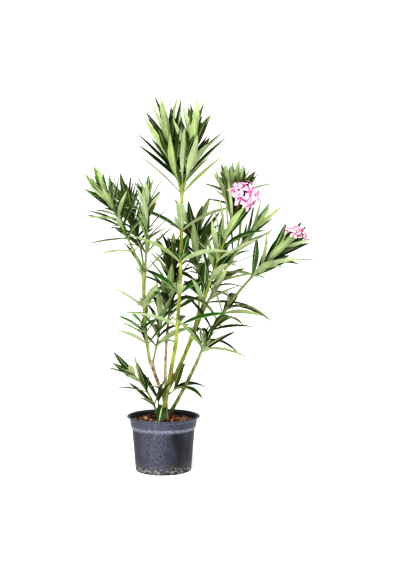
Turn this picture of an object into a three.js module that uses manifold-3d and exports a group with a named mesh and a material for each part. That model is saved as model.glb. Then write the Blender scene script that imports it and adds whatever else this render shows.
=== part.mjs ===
// A young oleander shrub with several stems, growing in a moulded nursery pot.
// Millimetres, +Z up. The origin is the centre of the pot's flat underside.

import * as THREE from 'three';
import { mergeVertices } from 'three/addons/utils/BufferGeometryUtils.js';
import Module from 'manifold-3d';

const wasm = await Module();
wasm.setup();

const { clamp, degToRad, lerp } = THREE.MathUtils;

// ---------- driving dimensions: pot and soil ----------

const GAP = 0.3; // daylight left between pieces that touch
const WALL = 1.6;
const POT_HEIGHT = 150;
const POT_SIDES = 40;
const RIM_RADIUS = 100; // outermost edge of the lip
const RIM_WIDTH = 7; // how far the lip stands out from the collar
const RIM_DEPTH = 4;
const COLLAR_HEIGHT = 27; // the wider band under the lip, on which stacked pots rest
const COLLAR_DRAFT = 4.5;
const COLLAR_STEP = 3;
const FOOT_RADIUS = 76.5;
const FOOT_ROUND = 5;
const DRAIN_HOLES = 8;
const DRAIN_WIDTH = 14;
const DRAIN_HEIGHT = 5;
const DRAIN_TURN = -79;
const SOIL_TOP = 138;
const SOIL_DROP = 3; // how much lower the soil lies against the wall
const SOIL_FLAT_RADIUS = 60;

// ---------- driving dimensions: how every limb, leaf and flower is made ----------

const TWIG_SIDES = 5;
const LIMB_STEP = 36; // length of limb between two rings
const FOOT_OVERLAP = 12; // how far a limb is drawn past its foot before the foot is cut flat
const FLARE_REACH = 0.2; // share of a limb over which a flared foot or a swollen fork dies out
const LEAVES_IN_WHORL = 3;
const WHORL_TURN = 60; // each whorl of three sits over the gaps of the one below
const BLADE_STEPS = 4;
const BLADE_THICKNESS = 0.014; // share of the leaf's length
const BLADE_FULLNESS = 0.85; // below 1 the outline is fuller than a sine curve
const BLADE_BIAS = 0.9; // below 1 the blade is widest nearer its root
const LENGTH_LUCK = 0.1;
const TURN_LUCK = 10;
const OPEN_LUCK = 8;
const SAG_LUCK = 0.12;
const ROLL_LUCK = 30;
const SIDE_STEPS = [0, 12, -12, 24, -24, 36, -36]; // turns a leaf may make to miss its neighbours
const LEAF_CLEARANCE = 0.5;
const CHANCE_MIX = [12.9898, 78.233, 37.719, 9.137];
const CHANCE_SCALE = 43758.5453;
const GOLDEN_TURN = 137.5;
const PETALS = 5;
const CORNERS_PER_PETAL = 3; // a notch and two blunt shoulders
const PETAL_RADIUS = 20;
const NOTCH_RADIUS = 8;
const PETAL_DEPTH = 2.5; // at the throat, thinning to nothing at the petal's edge
const THROAT_RADIUS = 3.8;
const FUNNEL_LENGTH = 18;
const CALYX_RADIUS = 1.6;
const STALK_RADIUS = 1.2;

// ---------- driving dimensions: finishes, as colour and roughness ----------

const POT_FINISH = ['#34383f', 0.6];
const SOIL_FINISH = ['#3b2a20', 0.95];
const BARK_FINISH = ['#9a7f64', 0.85];
const STEM_FINISH = ['#8e9c34', 0.55];
const LEAF_FINISH = ['#55763f', 0.5];

// ---------- driving dimensions: the limbs ----------

// A limb starts LEAN degrees from upright and heads TOWARD (0 is +X, 90 is +Y), and turns evenly
// by CURL and SWAY over its LENGTH. It grows from the GROUND at [x, y], ON another limb's tip, or
// from that limb's SIDE at [distance, bearing]. Limbs that share a tip each have a SEAT on it, at
// [distance, bearing] from its middle. RADIUS is at the foot and the tip.

const BOUGHS = {
  trunk: {
    ground: [5, 4], length: 77, lean: 3, toward: 100,
    radius: [6.5, 6.5], flare: 4, fork: 5, sides: 8, rings: 7, bark: true,
  },
  leader_bough: {
    ground: [-5, -18], length: 221, lean: 12, toward: 7, curl: -3, sway: -3,
    radius: [6.2, 5.6], flare: 0.9, sides: 8,
  },
  far_bough: {
    ground: [9, 20], length: 197, lean: 32, toward: -22, curl: -3, sway: -17,
    radius: [5.4, 4.6], sides: 6,
  },
  left_bough: {
    on: 'trunk', seat: [7.5, 175], length: 86, lean: 33, toward: 150, curl: -14, sway: -14,
    radius: [4.8, 4.6], fork: 3, sides: 6, bark: true,
  },
  centre_bough: {
    on: 'trunk', seat: [6.5, 75], length: 204, lean: 20, toward: 100, curl: -8, sway: -37,
    radius: [4.2, 3.6], sides: 6, bark: true,
  },
  right_bough: {
    on: 'trunk', seat: [7, -40], length: 229, lean: 29, toward: 9, curl: -11, sway: 2,
    radius: [5.4, 5], fork: 4, sides: 6,
  },
};

// ---------- driving dimensions: the masses of foliage ----------

// A mass is one leafy stem. Its LEAVES stand in WHORLS, the FIRST at a distance from the foot and
// the next ones a GAP apart, which SHRINKs by a share each time. The first whorl is turned by
// TURN. The leaves' OPENing from the stem, SAG and SIZE are for the oldest and youngest whorl,
// and LEFT is how many leaves of each whorl haven't dropped.
// TWIGS are fused on: each grows FROM a distance up the stem, and bears leaves or FLOWERS.

const MASSES = {
  leader_tier: {
    on: 'leader_bough', length: 393, lean: 5, toward: 6, curl: -5, sway: 35, radius: [5.6, 4.6],
    leaves: {
      whorls: 4, first: 41, gap: 86, shrink: 1, turn: -35, open: [68, 54], sag: [0.3, 0.5],
      size: [158, 186], width: 25, seed: 254,
    },
  },
  leader_crown: {
    on: 'leader_tier', length: 118, lean: 5, toward: 80, radius: [4.6, 2.4],
    leaves: {
      whorls: 4, first: 5, gap: 42, shrink: 0.85, turn: -30, open: [48, 14], sag: [0.05, 0],
      size: [165, 122], width: 21, seed: 107,
    },
    twigs: [
      {
        from: 6, length: 146, lean: 20, toward: -165, curl: -12, radius: [3.4, 2.2],
        leaves: {
          whorls: 6, first: 44, gap: 29, shrink: 0.86, turn: -90, open: [34, 10], sag: [0, 0],
          size: [165, 138], width: 22, seed: 5,
        },
      },
      {
        from: 8, length: 146, lean: 21, toward: -20, curl: -15, radius: [3.4, 2.2],
        leaves: {
          whorls: 6, first: 44, gap: 29, shrink: 0.86, turn: -90, open: [34, 10], sag: [0, 0],
          size: [146, 106], width: 22, seed: 8,
        },
      },
    ],
  },
  left_fan: {
    on: 'left_bough', seat: [5, 200], length: 254, lean: 10, toward: 207, curl: -12, sway: 20,
    radius: [4.6, 4], fork: 3.4, sides: 6,
    leaves: {
      whorls: 3, first: 51, gap: 100, shrink: 0.94, turn: -135, open: [55, 40], sag: [0.1, 0.3],
      size: [120, 115], width: 19, seed: 144,
    },
    twigs: [{
      from: 75, length: 45, lean: 35, toward: -115, curl: -10, radius: [2.2, 1.8],
      leaves: {
        whorls: 3, first: 10, gap: 15, shrink: 0.84, turn: -103, open: [47, 58], sag: [0.1, 0],
        size: [100, 60], width: 15, seed: 229,
      },
    }],
  },
  left_outer: {
    on: 'left_fan', seat: [4.4, -150], length: 239, lean: 27, toward: -144, curl: 6, sway: 8,
    radius: [3.6, 2.4],
    leaves: {
      whorls: 8, first: 62, gap: 40, shrink: 0.82, turn: -90, open: [70, 14], sag: [0.15, -0.2],
      size: [120, 90], width: 17, seed: 224,
    },
  },
  left_back: {
    on: 'left_fan', seat: [4.4, 90], length: 206, lean: 29, toward: 104, sway: 29,
    radius: [3.2, 2.4],
    leaves: {
      whorls: 8, first: 70, gap: 34, shrink: 0.82, turn: -16, open: [45, 19], sag: [0.4, -0.2],
      size: [100, 104], width: 17, seed: 5,
    },
  },
  left_inner: {
    on: 'left_fan', seat: [4.4, -30], length: 194, lean: 3, toward: -48, curl: 6, sway: -37,
    radius: [3.4, 2.4],
    leaves: {
      whorls: 7, first: 45, gap: 43, shrink: 0.8, turn: -90, open: [43, 14], sag: [0, 0.2],
      size: [105, 80], width: 16, seed: 28,
    },
  },
  left_twig: {
    on: 'left_bough', seat: [4.2, 20], length: 168, lean: 22, toward: 57, curl: -6, sway: -9,
    radius: [3, 2.4],
    leaves: {
      whorls: 3, first: 44, gap: 49, shrink: 0.86, turn: -52, open: [54, 24], sag: [0.5, 0.2],
      size: [150, 125], width: 20, seed: 204,
    },
  },
  centre_spray: {
    on: 'centre_bough', length: 158, lean: 14, toward: 67, curl: -4, sway: 13,
    radius: [3.5, 2.4],
    leaves: {
      whorls: 7, first: 10, gap: 39, shrink: 0.85, turn: -30, open: [50, 12], sag: [0.3, 0.15],
      size: [122, 92], width: 21, seed: 151,
    },
  },
  right_back: {
    on: 'right_bough', seat: [5.8, 140], length: 237, lean: 33, toward: 83, curl: -12, sway: 24,
    radius: [3.6, 2.4],
    leaves: {
      whorls: 8, first: 56, gap: 57, shrink: 0.76, turn: -92, open: [42, 26], sag: [0.1, 0.2],
      size: [130, 115], width: 22, seed: 235,
    },
  },
  bloom: {
    on: 'right_bough', seat: [6, -85], length: 275, lean: 19, toward: -36, curl: 10, sway: -12,
    radius: [4.4, 3.6], sides: 6,
    leaves: {
      whorls: 5, first: 30, gap: 68, shrink: 0.93, turn: -11, open: [38, 24], sag: [0.3, 0.2],
      size: [138, 150], width: 21, seed: 92,
    },
    twigs: [
      {
        from: 275, length: 74, lean: 12, toward: 54, curl: -4, radius: [2.8, 2.2],
        leaves: {
          whorls: 7, first: 8, gap: 12, shrink: 0.95, turn: -58, open: [34, 18], sag: [0.05, 0],
          size: [146, 92], width: 20, seed: 14,
        },
      },
      {
        from: 272, length: 80, lean: 28, toward: -48, curl: 4, radius: [1.9, 1.6],
        flowers: 12, spread: 92, stalks: [26, 46], opened: 1, seed: 20,
      },
    ],
  },
  right_spray: {
    on: 'right_bough', seat: [6, 28], length: 278, lean: 33, toward: 44, curl: 3, sway: -34,
    radius: [4.2, 2.8],
    leaves: {
      whorls: 7, first: 40, gap: 65, shrink: 0.84, turn: -91, open: [55, 12], sag: [0.3, -0.2],
      size: [155, 102], width: 17, seed: 210,
    },
  },
  far_spray: {
    on: 'far_bough', length: 398, lean: 24, toward: 22, curl: 28, sway: -53,
    radius: [4.5, 2.8], sides: 6,
    leaves: {
      whorls: 10, first: 30, gap: 58, shrink: 0.9, turn: -35, open: [63, 14], sag: [0.45, -0.1],
      size: [132, 115], width: 21, seed: 363,
    },
    twigs: [
      {
        from: 150, length: 9, lean: 55, toward: -12, radius: [2, 1.6],
        leaves: {
          whorls: 1, first: 7, gap: 10, shrink: 1, turn: -12, open: [8, 8], sag: [1.5, 1.5],
          size: [145, 145], width: 13, seed: 2, left: 1,
        },
      },
      {
        from: 318, length: 9, lean: 74, toward: -4, radius: [2, 1.6],
        leaves: {
          whorls: 1, first: 7, gap: 10, shrink: 1, turn: -4, open: [9, 9], sag: [0.1, 0.1],
          size: [160, 160], width: 15, seed: 3, left: 1,
        },
      },
      {
        from: 392, length: 38, lean: 46, toward: -30, radius: [1.7, 1.4],
        flowers: 7, spread: 70, stalks: [24, 34], opened: 0.62, seed: 60,
      },
    ],
  },
  low_left: {
    ground: [-14, 12], length: 167, lean: 23, toward: -121, curl: 26, sway: -21,
    radius: [3.4, 2.2],
    leaves: {
      whorls: 5, first: 44, gap: 50, shrink: 0.74, turn: -105, open: [42, 22], sag: [0.2, 0],
      size: [100, 78], width: 17, seed: 320,
    },
  },
  basal_sprig: {
    ground: [-15, -6], length: 92, lean: 2, toward: 0, radius: [2.6, 2],
    leaves: {
      whorls: 2, first: 52, gap: 34, shrink: 1, turn: 180, open: [42, 78], sag: [0.3, 0.1],
      size: [112, 100], width: 20, seed: 34, left: 2,
    },
  },
  basal_leaf: {
    ground: [1, -31], length: 42, lean: 4, toward: -90, radius: [2.6, 2.2],
    leaves: {
      whorls: 1, first: 38, gap: 10, shrink: 1, turn: -112, open: [50, 50], sag: [3, 3],
      size: [74, 74], width: 28, seed: 3, left: 1,
    },
  },
  fork_sprig: {
    on: 'trunk', side: [70, -20], length: 22, lean: 60, toward: -15, curl: -20,
    radius: [2.4, 1.8],
    leaves: {
      whorls: 1, first: 18, gap: 10, shrink: 1, turn: -62, open: [38, 38], sag: [1, 1],
      size: [105, 105], width: 22, seed: 17,
    },
  },
};

// ---------- small helpers ----------

const bearing = (turn) => new THREE.Vector3(Math.cos(degToRad(turn)), Math.sin(degToRad(turn)), 0);

// The part of a vector that is square to an axis, at length 1.
const square = (vector, axis) => vector.addScaledVector(axis, -vector.dot(axis)).normalize();

// Chance from -1 to 1 that is always the same for the same shoot, whorl, leaf and use.
function chance(...key) {
  const mix = key.reduce((sum, value, i) => sum + value * CHANCE_MIX[i], 0);
  const noise = Math.sin(mix) * CHANCE_SCALE;
  return (noise - Math.floor(noise)) * 2 - 1;
}

// A closed three.js geometry as a solid that can be joined and cut.
function solid(geometry) {
  geometry.deleteAttribute('normal');
  geometry.deleteAttribute('uv');
  const merged = mergeVertices(geometry);
  const corners = merged.index.array;
  const triVerts = [];
  for (let i = 0; i < corners.length; i += 3) {
    const [a, b, c] = corners.slice(i, i + 3);
    if (a !== b && b !== c && c !== a) triVerts.push(a, b, c);
  }
  return new wasm.Manifold(new wasm.Mesh({
    numProp: 3,
    vertProperties: new Float32Array(merged.attributes.position.array),
    triVerts: new Uint32Array(triVerts),
  }));
}

const join = (pieces) => pieces.reduce((whole, piece) => whole.add(piece));

// The largest shell of a joined solid: sealed hollows are filled and loose scraps are dropped.
function mainShell(joined) {
  const shells = joined.decompose();
  return shells.reduce((best, shell) => (shell.volume() > best.volume() ? shell : best));
}

function mesh(name, shape, [color, roughness]) {
  const { vertProperties, triVerts } = mainShell(shape).getMesh();
  const geometry = new THREE.BufferGeometry();
  geometry.setAttribute('position', new THREE.BufferAttribute(vertProperties, 3));
  geometry.setIndex(new THREE.BufferAttribute(triVerts, 1));
  geometry.computeVertexNormals();
  const material = new THREE.MeshStandardMaterial({ color, roughness, metalness: 0 });
  const result = new THREE.Mesh(geometry, material);
  result.name = name;
  return result;
}

// ---------- pot and soil ----------

const collarTop = POT_HEIGHT - RIM_DEPTH;
const collarFoot = collarTop - COLLAR_HEIGHT;
const shoulder = collarFoot - COLLAR_STEP;
const collarTopRadius = RIM_RADIUS - RIM_WIDTH;
const collarFootRadius = collarTopRadius - COLLAR_DRAFT;
const shoulderRadius = collarFootRadius - COLLAR_STEP;

// Turns an outline of [radius, height] points about the pot's axis.
function turned(outline) {
  const points = outline.map(([radius, height]) => new THREE.Vector2(radius, height));
  return solid(new THREE.LatheGeometry(points, POT_SIDES).rotateX(Math.PI / 2));
}

function makePot() {
  const shell = turned([
    [0, 0],
    [FOOT_RADIUS - WALL, 0],
    [FOOT_RADIUS, FOOT_ROUND],
    [shoulderRadius, shoulder],
    [collarFootRadius, collarFoot],
    [collarTopRadius, collarTop],
    [RIM_RADIUS - WALL, collarTop],
    [RIM_RADIUS, POT_HEIGHT - RIM_DEPTH / 2],
    [RIM_RADIUS - WALL, POT_HEIGHT],
    [collarTopRadius, POT_HEIGHT],
    [collarTopRadius - WALL, collarTop],
    [collarFootRadius - WALL, collarFoot],
    [shoulderRadius - WALL, shoulder],
    [FOOT_RADIUS - WALL, FOOT_ROUND],
    [FOOT_RADIUS - 2 * WALL, WALL],
    [0, WALL],
  ]);
  const holes = [];
  for (let i = 0; i < DRAIN_HOLES; i += 1) {
    const box = new THREE.BoxGeometry(4 * FOOT_ROUND, DRAIN_WIDTH, 2 * DRAIN_HEIGHT);
    box.translate(FOOT_RADIUS + FOOT_ROUND, 0, 0);
    box.rotateZ(degToRad(DRAIN_TURN + (360 / DRAIN_HOLES) * i));
    holes.push(solid(box));
  }
  return shell.subtract(join(holes));
}

function makeSoil() {
  const edge = WALL + GAP;
  const edgeTop = SOIL_TOP - SOIL_DROP;
  const rise = (edgeTop - collarFoot) / COLLAR_HEIGHT;
  return turned([
    [0, edge],
    [FOOT_RADIUS - WALL - edge, edge],
    [FOOT_RADIUS - edge, FOOT_ROUND + GAP],
    [shoulderRadius - edge, shoulder],
    [collarFootRadius - edge, collarFoot + GAP],
    [lerp(collarFootRadius, collarTopRadius, rise) - edge, edgeTop],
    [SOIL_FLAT_RADIUS, SOIL_TOP],
    [0, SOIL_TOP],
  ]);
}

// ---------- limbs ----------

// The way a limb heads after a share t of its length.
function heading(limb, t) {
  const tilt = degToRad(limb.lean + (limb.curl ?? 0) * t);
  const flat = bearing(limb.toward + (limb.sway ?? 0) * t).multiplyScalar(Math.sin(tilt));
  return flat.setZ(Math.cos(tilt));
}

// The points of a limb's middle line, from its foot to its tip.
function grow(limb) {
  const steps = limb.rings ?? Math.max(2, Math.round(limb.length / LIMB_STEP));
  const points = [limb.foot];
  for (let i = 0; i < steps; i += 1) {
    const step = heading(limb, (i + 0.5) / steps).multiplyScalar(limb.length / steps);
    points.push(points[i].clone().add(step));
  }
  return points;
}

// The point of a limb's middle line at a distance from its foot.
function pointOn(limb, distance) {
  const steps = limb.points.length - 1;
  const along = Math.min(distance / limb.length, 1) * steps;
  const i = Math.min(Math.floor(along), steps - 1);
  return limb.points[i].clone().lerp(limb.points[i + 1], along - i);
}

// Tapers from foot to tip, with a flared foot and a swollen fork where the limb has them.
function radiusAt(limb, t) {
  const flare = (limb.flare ?? 0) * Math.exp(-t / FLARE_REACH);
  const fork = (limb.fork ?? 0) * Math.exp((t - 1) / FLARE_REACH);
  return lerp(limb.radius[0], limb.radius[1], t) + flare + fork;
}

// A cylinder whose rings follow the limb's middle line, each square to the way the limb heads.
function tube(limb, overlap = 0) {
  const steps = limb.points.length - 1;
  const geometry = new THREE.CylinderGeometry(1, 1, 1, limb.sides ?? TWIG_SIDES, steps);
  const place = geometry.attributes.position;
  for (let i = 0; i < place.count; i += 1) {
    const t = place.getY(i) + 0.5;
    const along = heading(limb, t);
    const across = new THREE.Vector3(0, 1, 0).cross(along).normalize();
    const radius = radiusAt(limb, t);
    const point = limb.points[Math.round(t * steps)].clone();
    point.addScaledVector(across, place.getX(i) * radius);
    point.addScaledVector(across.cross(along), place.getZ(i) * radius);
    if (t < 0.5 / steps) point.addScaledVector(along, -overlap);
    place.setXYZ(i, ...point);
  }
  return solid(geometry);
}

// The face that a limb grows out of: level soil, another limb's tip, or that limb's side.
function footing(limb, limbs) {
  const parent = limbs[limb.on];
  if (!parent) {
    return { point: new THREE.Vector3(...limb.ground, SOIL_TOP), normal: new THREE.Vector3(0, 0, 1) };
  }
  if (!limb.side) return { point: parent.points.at(-1), normal: heading(parent, 1) };
  const [distance, turn] = limb.side;
  const normal = square(bearing(turn), heading(parent, distance / parent.length));
  return { point: pointOn(parent, distance).addScaledVector(normal, radiusAt(parent, 1)), normal };
}

// Stands a limb on its footing and grows it from there, with its foot cut flat.
function stand(limb, limbs) {
  const { point, normal } = footing(limb, limbs);
  limb.foot = point.clone();
  if (limb.seat) limb.foot.addScaledVector(square(bearing(limb.seat[1]), normal), limb.seat[0]);
  limb.points = grow(limb);
  limb.shape = tube(limb, FOOT_OVERLAP).trimByPlane(normal.toArray(), normal.dot(point) + GAP);
}

// Grows a twig out of the side or the tip of its own stem, with its root inside the stem.
function branch(twig, stem) {
  twig.foot = pointOn(stem, twig.from);
  twig.points = grow(twig);
  twig.shape = tube(twig);
}

// ---------- leaves ----------

// Lays out a blade whose root is on an axis: it opens away from the axis on the outward side.
function blade(root, axis, outward, { open, sag, length, width, roll }) {
  const run = axis.clone().multiplyScalar(Math.cos(degToRad(open)));
  run.addScaledVector(outward, Math.sin(degToRad(open)));
  return { root, run, side: axis.clone().cross(outward), sag, length, width, roll };
}

// The way a blade points after a share s of its length: its weight bends it down.
const pointing = (leaf, s) => leaf.run.clone().add(new THREE.Vector3(0, 0, -leaf.sag * s)).normalize();

// A blade's share of its full width after a share s of its length: 0 at the root and the tip.
const fullness = (s) => Math.max(Math.sin(Math.PI * s ** BLADE_BIAS), 0) ** BLADE_FULLNESS;

// A ball of three sides drawn out into a blade: flat above, with a keel below for its midrib.
function bladeSolid(leaf, swell = 0) {
  const steps = BLADE_STEPS;
  const middle = [leaf.root];
  for (let k = 0; k < steps; k += 1) {
    const step = pointing(leaf, (k + 0.5) / steps).multiplyScalar(leaf.length / steps);
    middle.push(middle[k].clone().add(step));
  }
  const thick = (leaf.length * BLADE_THICKNESS) / 2;
  const geometry = new THREE.SphereGeometry(1, 3, steps);
  const place = geometry.attributes.position;
  for (let i = 0; i < place.count; i += 1) {
    const k = Math.round(steps * (1 - Math.acos(clamp(place.getY(i), -1, 1)) / Math.PI));
    const along = pointing(leaf, k / steps);
    const flat = square(leaf.side.clone(), along).applyAxisAngle(along, -degToRad(leaf.roll));
    const under = flat.clone().cross(along);
    const inside = k > 0 && k < steps ? 1 : 0;
    const keel = inside && place.getX(i) < 0;
    const edge = inside && !keel ? Math.sign(place.getZ(i)) : 0;
    const half = (fullness(k / steps) * leaf.width) / 2 + swell;
    const point = middle[k].clone().addScaledVector(flat, edge * half);
    point.addScaledVector(under, inside * (keel ? thick + swell : -thick - swell));
    if (!inside) point.addScaledVector(along, k ? swell : -swell);
    place.setXYZ(i, ...point);
  }
  return solid(geometry);
}

// The leaves that a shoot's rule asks for, oldest whorl first.
function leavesOf(shoot) {
  const { whorls, first, gap, shrink, turn, open, sag, size, width, seed, left = 3 } = shoot.leaves;
  const found = [];
  let distance = first;
  for (let whorl = 0; whorl < whorls && distance <= shoot.length; whorl += 1) {
    const age = whorl / Math.max(whorls - 1, 1);
    const root = pointOn(shoot, distance);
    const axis = heading(shoot, distance / shoot.length);
    for (let i = 0; i < Math.min(left, LEAVES_IN_WHORL); i += 1) {
      const luck = (use) => chance(seed, whorl + 1, i + 1, use);
      const length = lerp(...size, age) * (1 + LENGTH_LUCK * luck(4));
      found.push({
        root, axis, length,
        turn: turn + WHORL_TURN * whorl + (360 / LEAVES_IN_WHORL) * i + TURN_LUCK * luck(1),
        open: lerp(...open, age) + OPEN_LUCK * luck(2),
        sag: lerp(...sag, age) + SAG_LUCK * luck(3),
        width: width * Math.sqrt(length / Math.max(...size)),
        roll: ROLL_LUCK * luck(5),
      });
    }
    distance += gap * shrink ** whorl;
  }
  return found;
}

// ---------- flowers ----------

// A truss: flowers on stalks that fan out of one hub, each a funnel with five petals.
function trussSolid(truss) {
  const axis = heading(truss, 1);
  const hub = truss.points.at(-1);
  const lean = new THREE.Quaternion().setFromUnitVectors(new THREE.Vector3(0, 0, 1), axis);
  const pieces = [];
  for (let i = 0; i < truss.flowers; i += 1) {
    const share = (i + 0.5) / truss.flowers;
    const turn = degToRad(GOLDEN_TURN * i + truss.seed);
    const open = degToRad(truss.spread * Math.sqrt(share));
    const facing = new THREE.Vector3(0, 0, Math.cos(open));
    facing.add(new THREE.Vector3(Math.cos(turn), Math.sin(turn), 0).multiplyScalar(Math.sin(open)));
    facing.applyQuaternion(lean);
    pieces.push(flowerSolid(hub, facing, lerp(...truss.stalks, (i % 3) / 2), truss.opened));
  }
  return join(pieces);
}

// A stalk that widens into a funnel, whose mouth is drawn out into petals with notches between.
function flowerSolid(hub, facing, stalk, opened) {
  const heights = [0, stalk - FUNNEL_LENGTH, stalk - PETAL_DEPTH, stalk];
  const radii = [STALK_RADIUS, CALYX_RADIUS, THROAT_RADIUS, PETAL_RADIUS * opened];
  const mouth = heights.length - 1;
  const sides = PETALS * CORNERS_PER_PETAL;
  const geometry = new THREE.CylinderGeometry(1, 1, 1, sides, mouth);
  const place = geometry.attributes.position;
  for (let i = 0; i < place.count; i += 1) {
    const [x, y, z] = [place.getX(i), place.getY(i), place.getZ(i)];
    const ring = Math.round((y + 0.5) * mouth);
    const corner = Math.round((Math.atan2(x, z) / (2 * Math.PI)) * sides) + sides;
    const notch = ring === mouth && corner % CORNERS_PER_PETAL === 0;
    const radius = notch ? NOTCH_RADIUS * opened : radii[ring];
    place.setXYZ(i, x * radius, -z * radius, heights[ring]);
  }
  const face = new THREE.Quaternion().setFromUnitVectors(new THREE.Vector3(0, 0, 1), facing);
  return solid(geometry.applyQuaternion(face).translate(...hub));
}

// ---------- the whole plant ----------

const placed = []; // every solid so far, with its owner, so that what comes later keeps clear

function overlap(a, b) {
  return [0, 1, 2].every((axis) => a.min[axis] < b.max[axis] && b.min[axis] < a.max[axis]);
}

function isClear(shape, owner) {
  const box = shape.boundingBox();
  return placed.every((other) => other.owner === owner || !overlap(box, other.box)
    || shape.intersect(other.shape).isEmpty());
}

function keep(owner, shape) {
  placed.push({ owner, shape, box: shape.boundingBox() });
}

// A leaf is turned a little on its stem to miss its neighbours, or skipped.
function addLeaves(owner, shoot, pieces) {
  for (const rule of leavesOf(shoot)) {
    for (const sideStep of SIDE_STEPS) {
      const outward = square(bearing(rule.turn + sideStep), rule.axis);
      const leaf = blade(rule.root, rule.axis, outward, rule);
      if (isClear(bladeSolid(leaf, LEAF_CLEARANCE), owner)) {
        const shape = bladeSolid(leaf);
        keep(owner, shape);
        pieces.push(shape);
        break;
      }
    }
  }
}

function build() {
  const plant = new THREE.Group();
  const pot = makePot();
  const soil = makeSoil();
  keep('pot', pot);
  keep('soil', soil);
  plant.add(mesh('pot', pot, POT_FINISH), mesh('soil', soil, SOIL_FINISH));

  for (const [name, bough] of Object.entries(BOUGHS)) {
    stand(bough, BOUGHS);
    keep(name, bough.shape);
    plant.add(mesh(name, bough.shape, bough.bark ? BARK_FINISH : STEM_FINISH));
  }

  const stems = { ...BOUGHS, ...MASSES };
  for (const [name, mass] of Object.entries(MASSES)) {
    stand(mass, stems);
    mass.pieces = [mass.shape];
    keep(name, mass.shape);
    for (const twig of mass.twigs ?? []) {
      branch(twig, mass);
      mass.pieces.push(twig.shape);
      keep(name, twig.shape);
      if (twig.flowers) {
        const truss = trussSolid(twig);
        mass.pieces.push(truss);
        keep(`${name} flowers`, truss); // an owner of its own, so that no leaf runs through it
      }
    }
  }

  for (const [name, mass] of Object.entries(MASSES)) {
    const leafy = [mass, ...(mass.twigs ?? [])].filter((shoot) => shoot.leaves);
    leafy.forEach((shoot) => addLeaves(name, shoot, mass.pieces));
    plant.add(mesh(name, join(mass.pieces), LEAF_FINISH));
  }
  return plant;
}

export default build();
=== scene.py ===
# %% [markdown]
# # A potted oleander
#
# This lesson dresses the plain model of a young oleander in a nursery pot. The plain model says
# where every limb runs and how far every leaf reaches, and it stays the frame for all that
# follows. A plant is mostly a rule that repeats, so its leaves could be placed by hand, by a
# particle system or by the rule itself. Here the rule is written out, because then each fine
# leaf grows exactly where the plain one is.

import math
from functools import partial

import bpy
import numpy as np
from mathutils import Matrix, Vector, kdtree
from mathutils.bvhtree import BVHTree


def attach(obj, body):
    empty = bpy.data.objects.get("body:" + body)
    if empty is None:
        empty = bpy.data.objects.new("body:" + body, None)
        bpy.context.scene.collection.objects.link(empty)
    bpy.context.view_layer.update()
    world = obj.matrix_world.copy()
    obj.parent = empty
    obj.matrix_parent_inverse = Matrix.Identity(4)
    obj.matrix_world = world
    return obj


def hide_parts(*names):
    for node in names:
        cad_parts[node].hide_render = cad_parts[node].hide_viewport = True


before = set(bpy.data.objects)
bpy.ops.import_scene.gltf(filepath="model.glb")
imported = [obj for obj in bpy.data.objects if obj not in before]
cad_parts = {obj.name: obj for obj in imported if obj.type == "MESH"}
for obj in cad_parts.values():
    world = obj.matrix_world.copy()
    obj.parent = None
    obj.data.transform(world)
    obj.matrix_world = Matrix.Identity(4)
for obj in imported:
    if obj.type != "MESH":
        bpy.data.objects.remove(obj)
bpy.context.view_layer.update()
print("plain model:", len(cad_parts), "nodes")

MM = 0.001  # the plant is measured in millimetres, and Blender works in metres

# %% [markdown]
# ## Helpers for materials
#
# A colour is easiest to judge as an sRGB hex value, but a shader works with linear light, so one
# function turns the first into the second. Another adds a node with its settings: a plain value
# fills a socket, and the output of another node is linked to it. Most finishes of a plant are one
# noise that deals out a few colours and a finer one that roughens the surface. The scale of each
# is worked out from the real size of the marks that it draws.

# %% Colours and nodes
def linear(hex_colour):
    """The linear colour, with alpha, of an sRGB hex value."""
    parts = [int(hex_colour[i:i + 2], 16) / 255 for i in (1, 3, 5)]
    bent = [c / 12.92 if c <= 0.04045 else ((c + 0.055) / 1.055) ** 2.4 for c in parts]
    return (*bent, 1.0)


def add_node(material, kind, sockets=None, **settings):
    """Adds one node with its settings, and fills or links its input sockets."""
    tree = material.node_tree
    node = tree.nodes.new(kind)
    for name, value in settings.items():
        setattr(node, name, value)
    for socket, value in (sockets or {}).items():
        if isinstance(value, bpy.types.NodeSocket):
            tree.links.new(value, node.inputs[socket])
        else:
            node.inputs[socket].default_value = value
    return node


def new_finish(name, colour, roughness, **sockets):
    """A material with one plain colour to start from, and its shader."""
    material = bpy.data.materials.new(name)
    material.use_nodes = True
    shader = material.node_tree.nodes["Principled BSDF"]
    shader.inputs["Base Color"].default_value = linear(colour)
    shader.inputs["Roughness"].default_value = roughness
    for socket, value in sockets.items():
        shader.inputs[socket.replace("_", " ")].default_value = value
    material.diffuse_color = linear(colour)
    return material, shader


# %% Marks of a real size
NOISE_MIDDLE = (0.35, 0.65)  # nearly all values of a noise lie between these


def grain(material, size, squash=(1, 1, 1), detail=3):
    """A noise whose marks are this many millimetres across, and longer on a squashed axis."""
    place = add_node(material, "ShaderNodeTexCoord").outputs["Object"]
    mapped = add_node(material, "ShaderNodeMapping", {"Vector": place, "Scale": squash})
    return add_node(material, "ShaderNodeTexNoise", {
        "Vector": mapped.outputs["Vector"], "Scale": 1 / (size * MM), "Detail": detail}).outputs["Fac"]


def mottled(material, shader, patches, colours, spread=NOISE_MIDDLE):
    """Colours the shader by a noise, from its low values to its high ones."""
    ramp = add_node(material, "ShaderNodeValToRGB", {"Fac": patches})
    stops = ramp.color_ramp.elements
    for i, colour in enumerate(colours):
        at = spread[0] + (spread[1] - spread[0]) * i / (len(colours) - 1)
        stop = stops[i] if i < 2 else stops.new(at)
        stop.position = at
        stop.color = linear(colour)
    material.node_tree.links.new(ramp.outputs["Color"], shader.inputs["Base Color"])
    return ramp.outputs["Color"]


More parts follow.
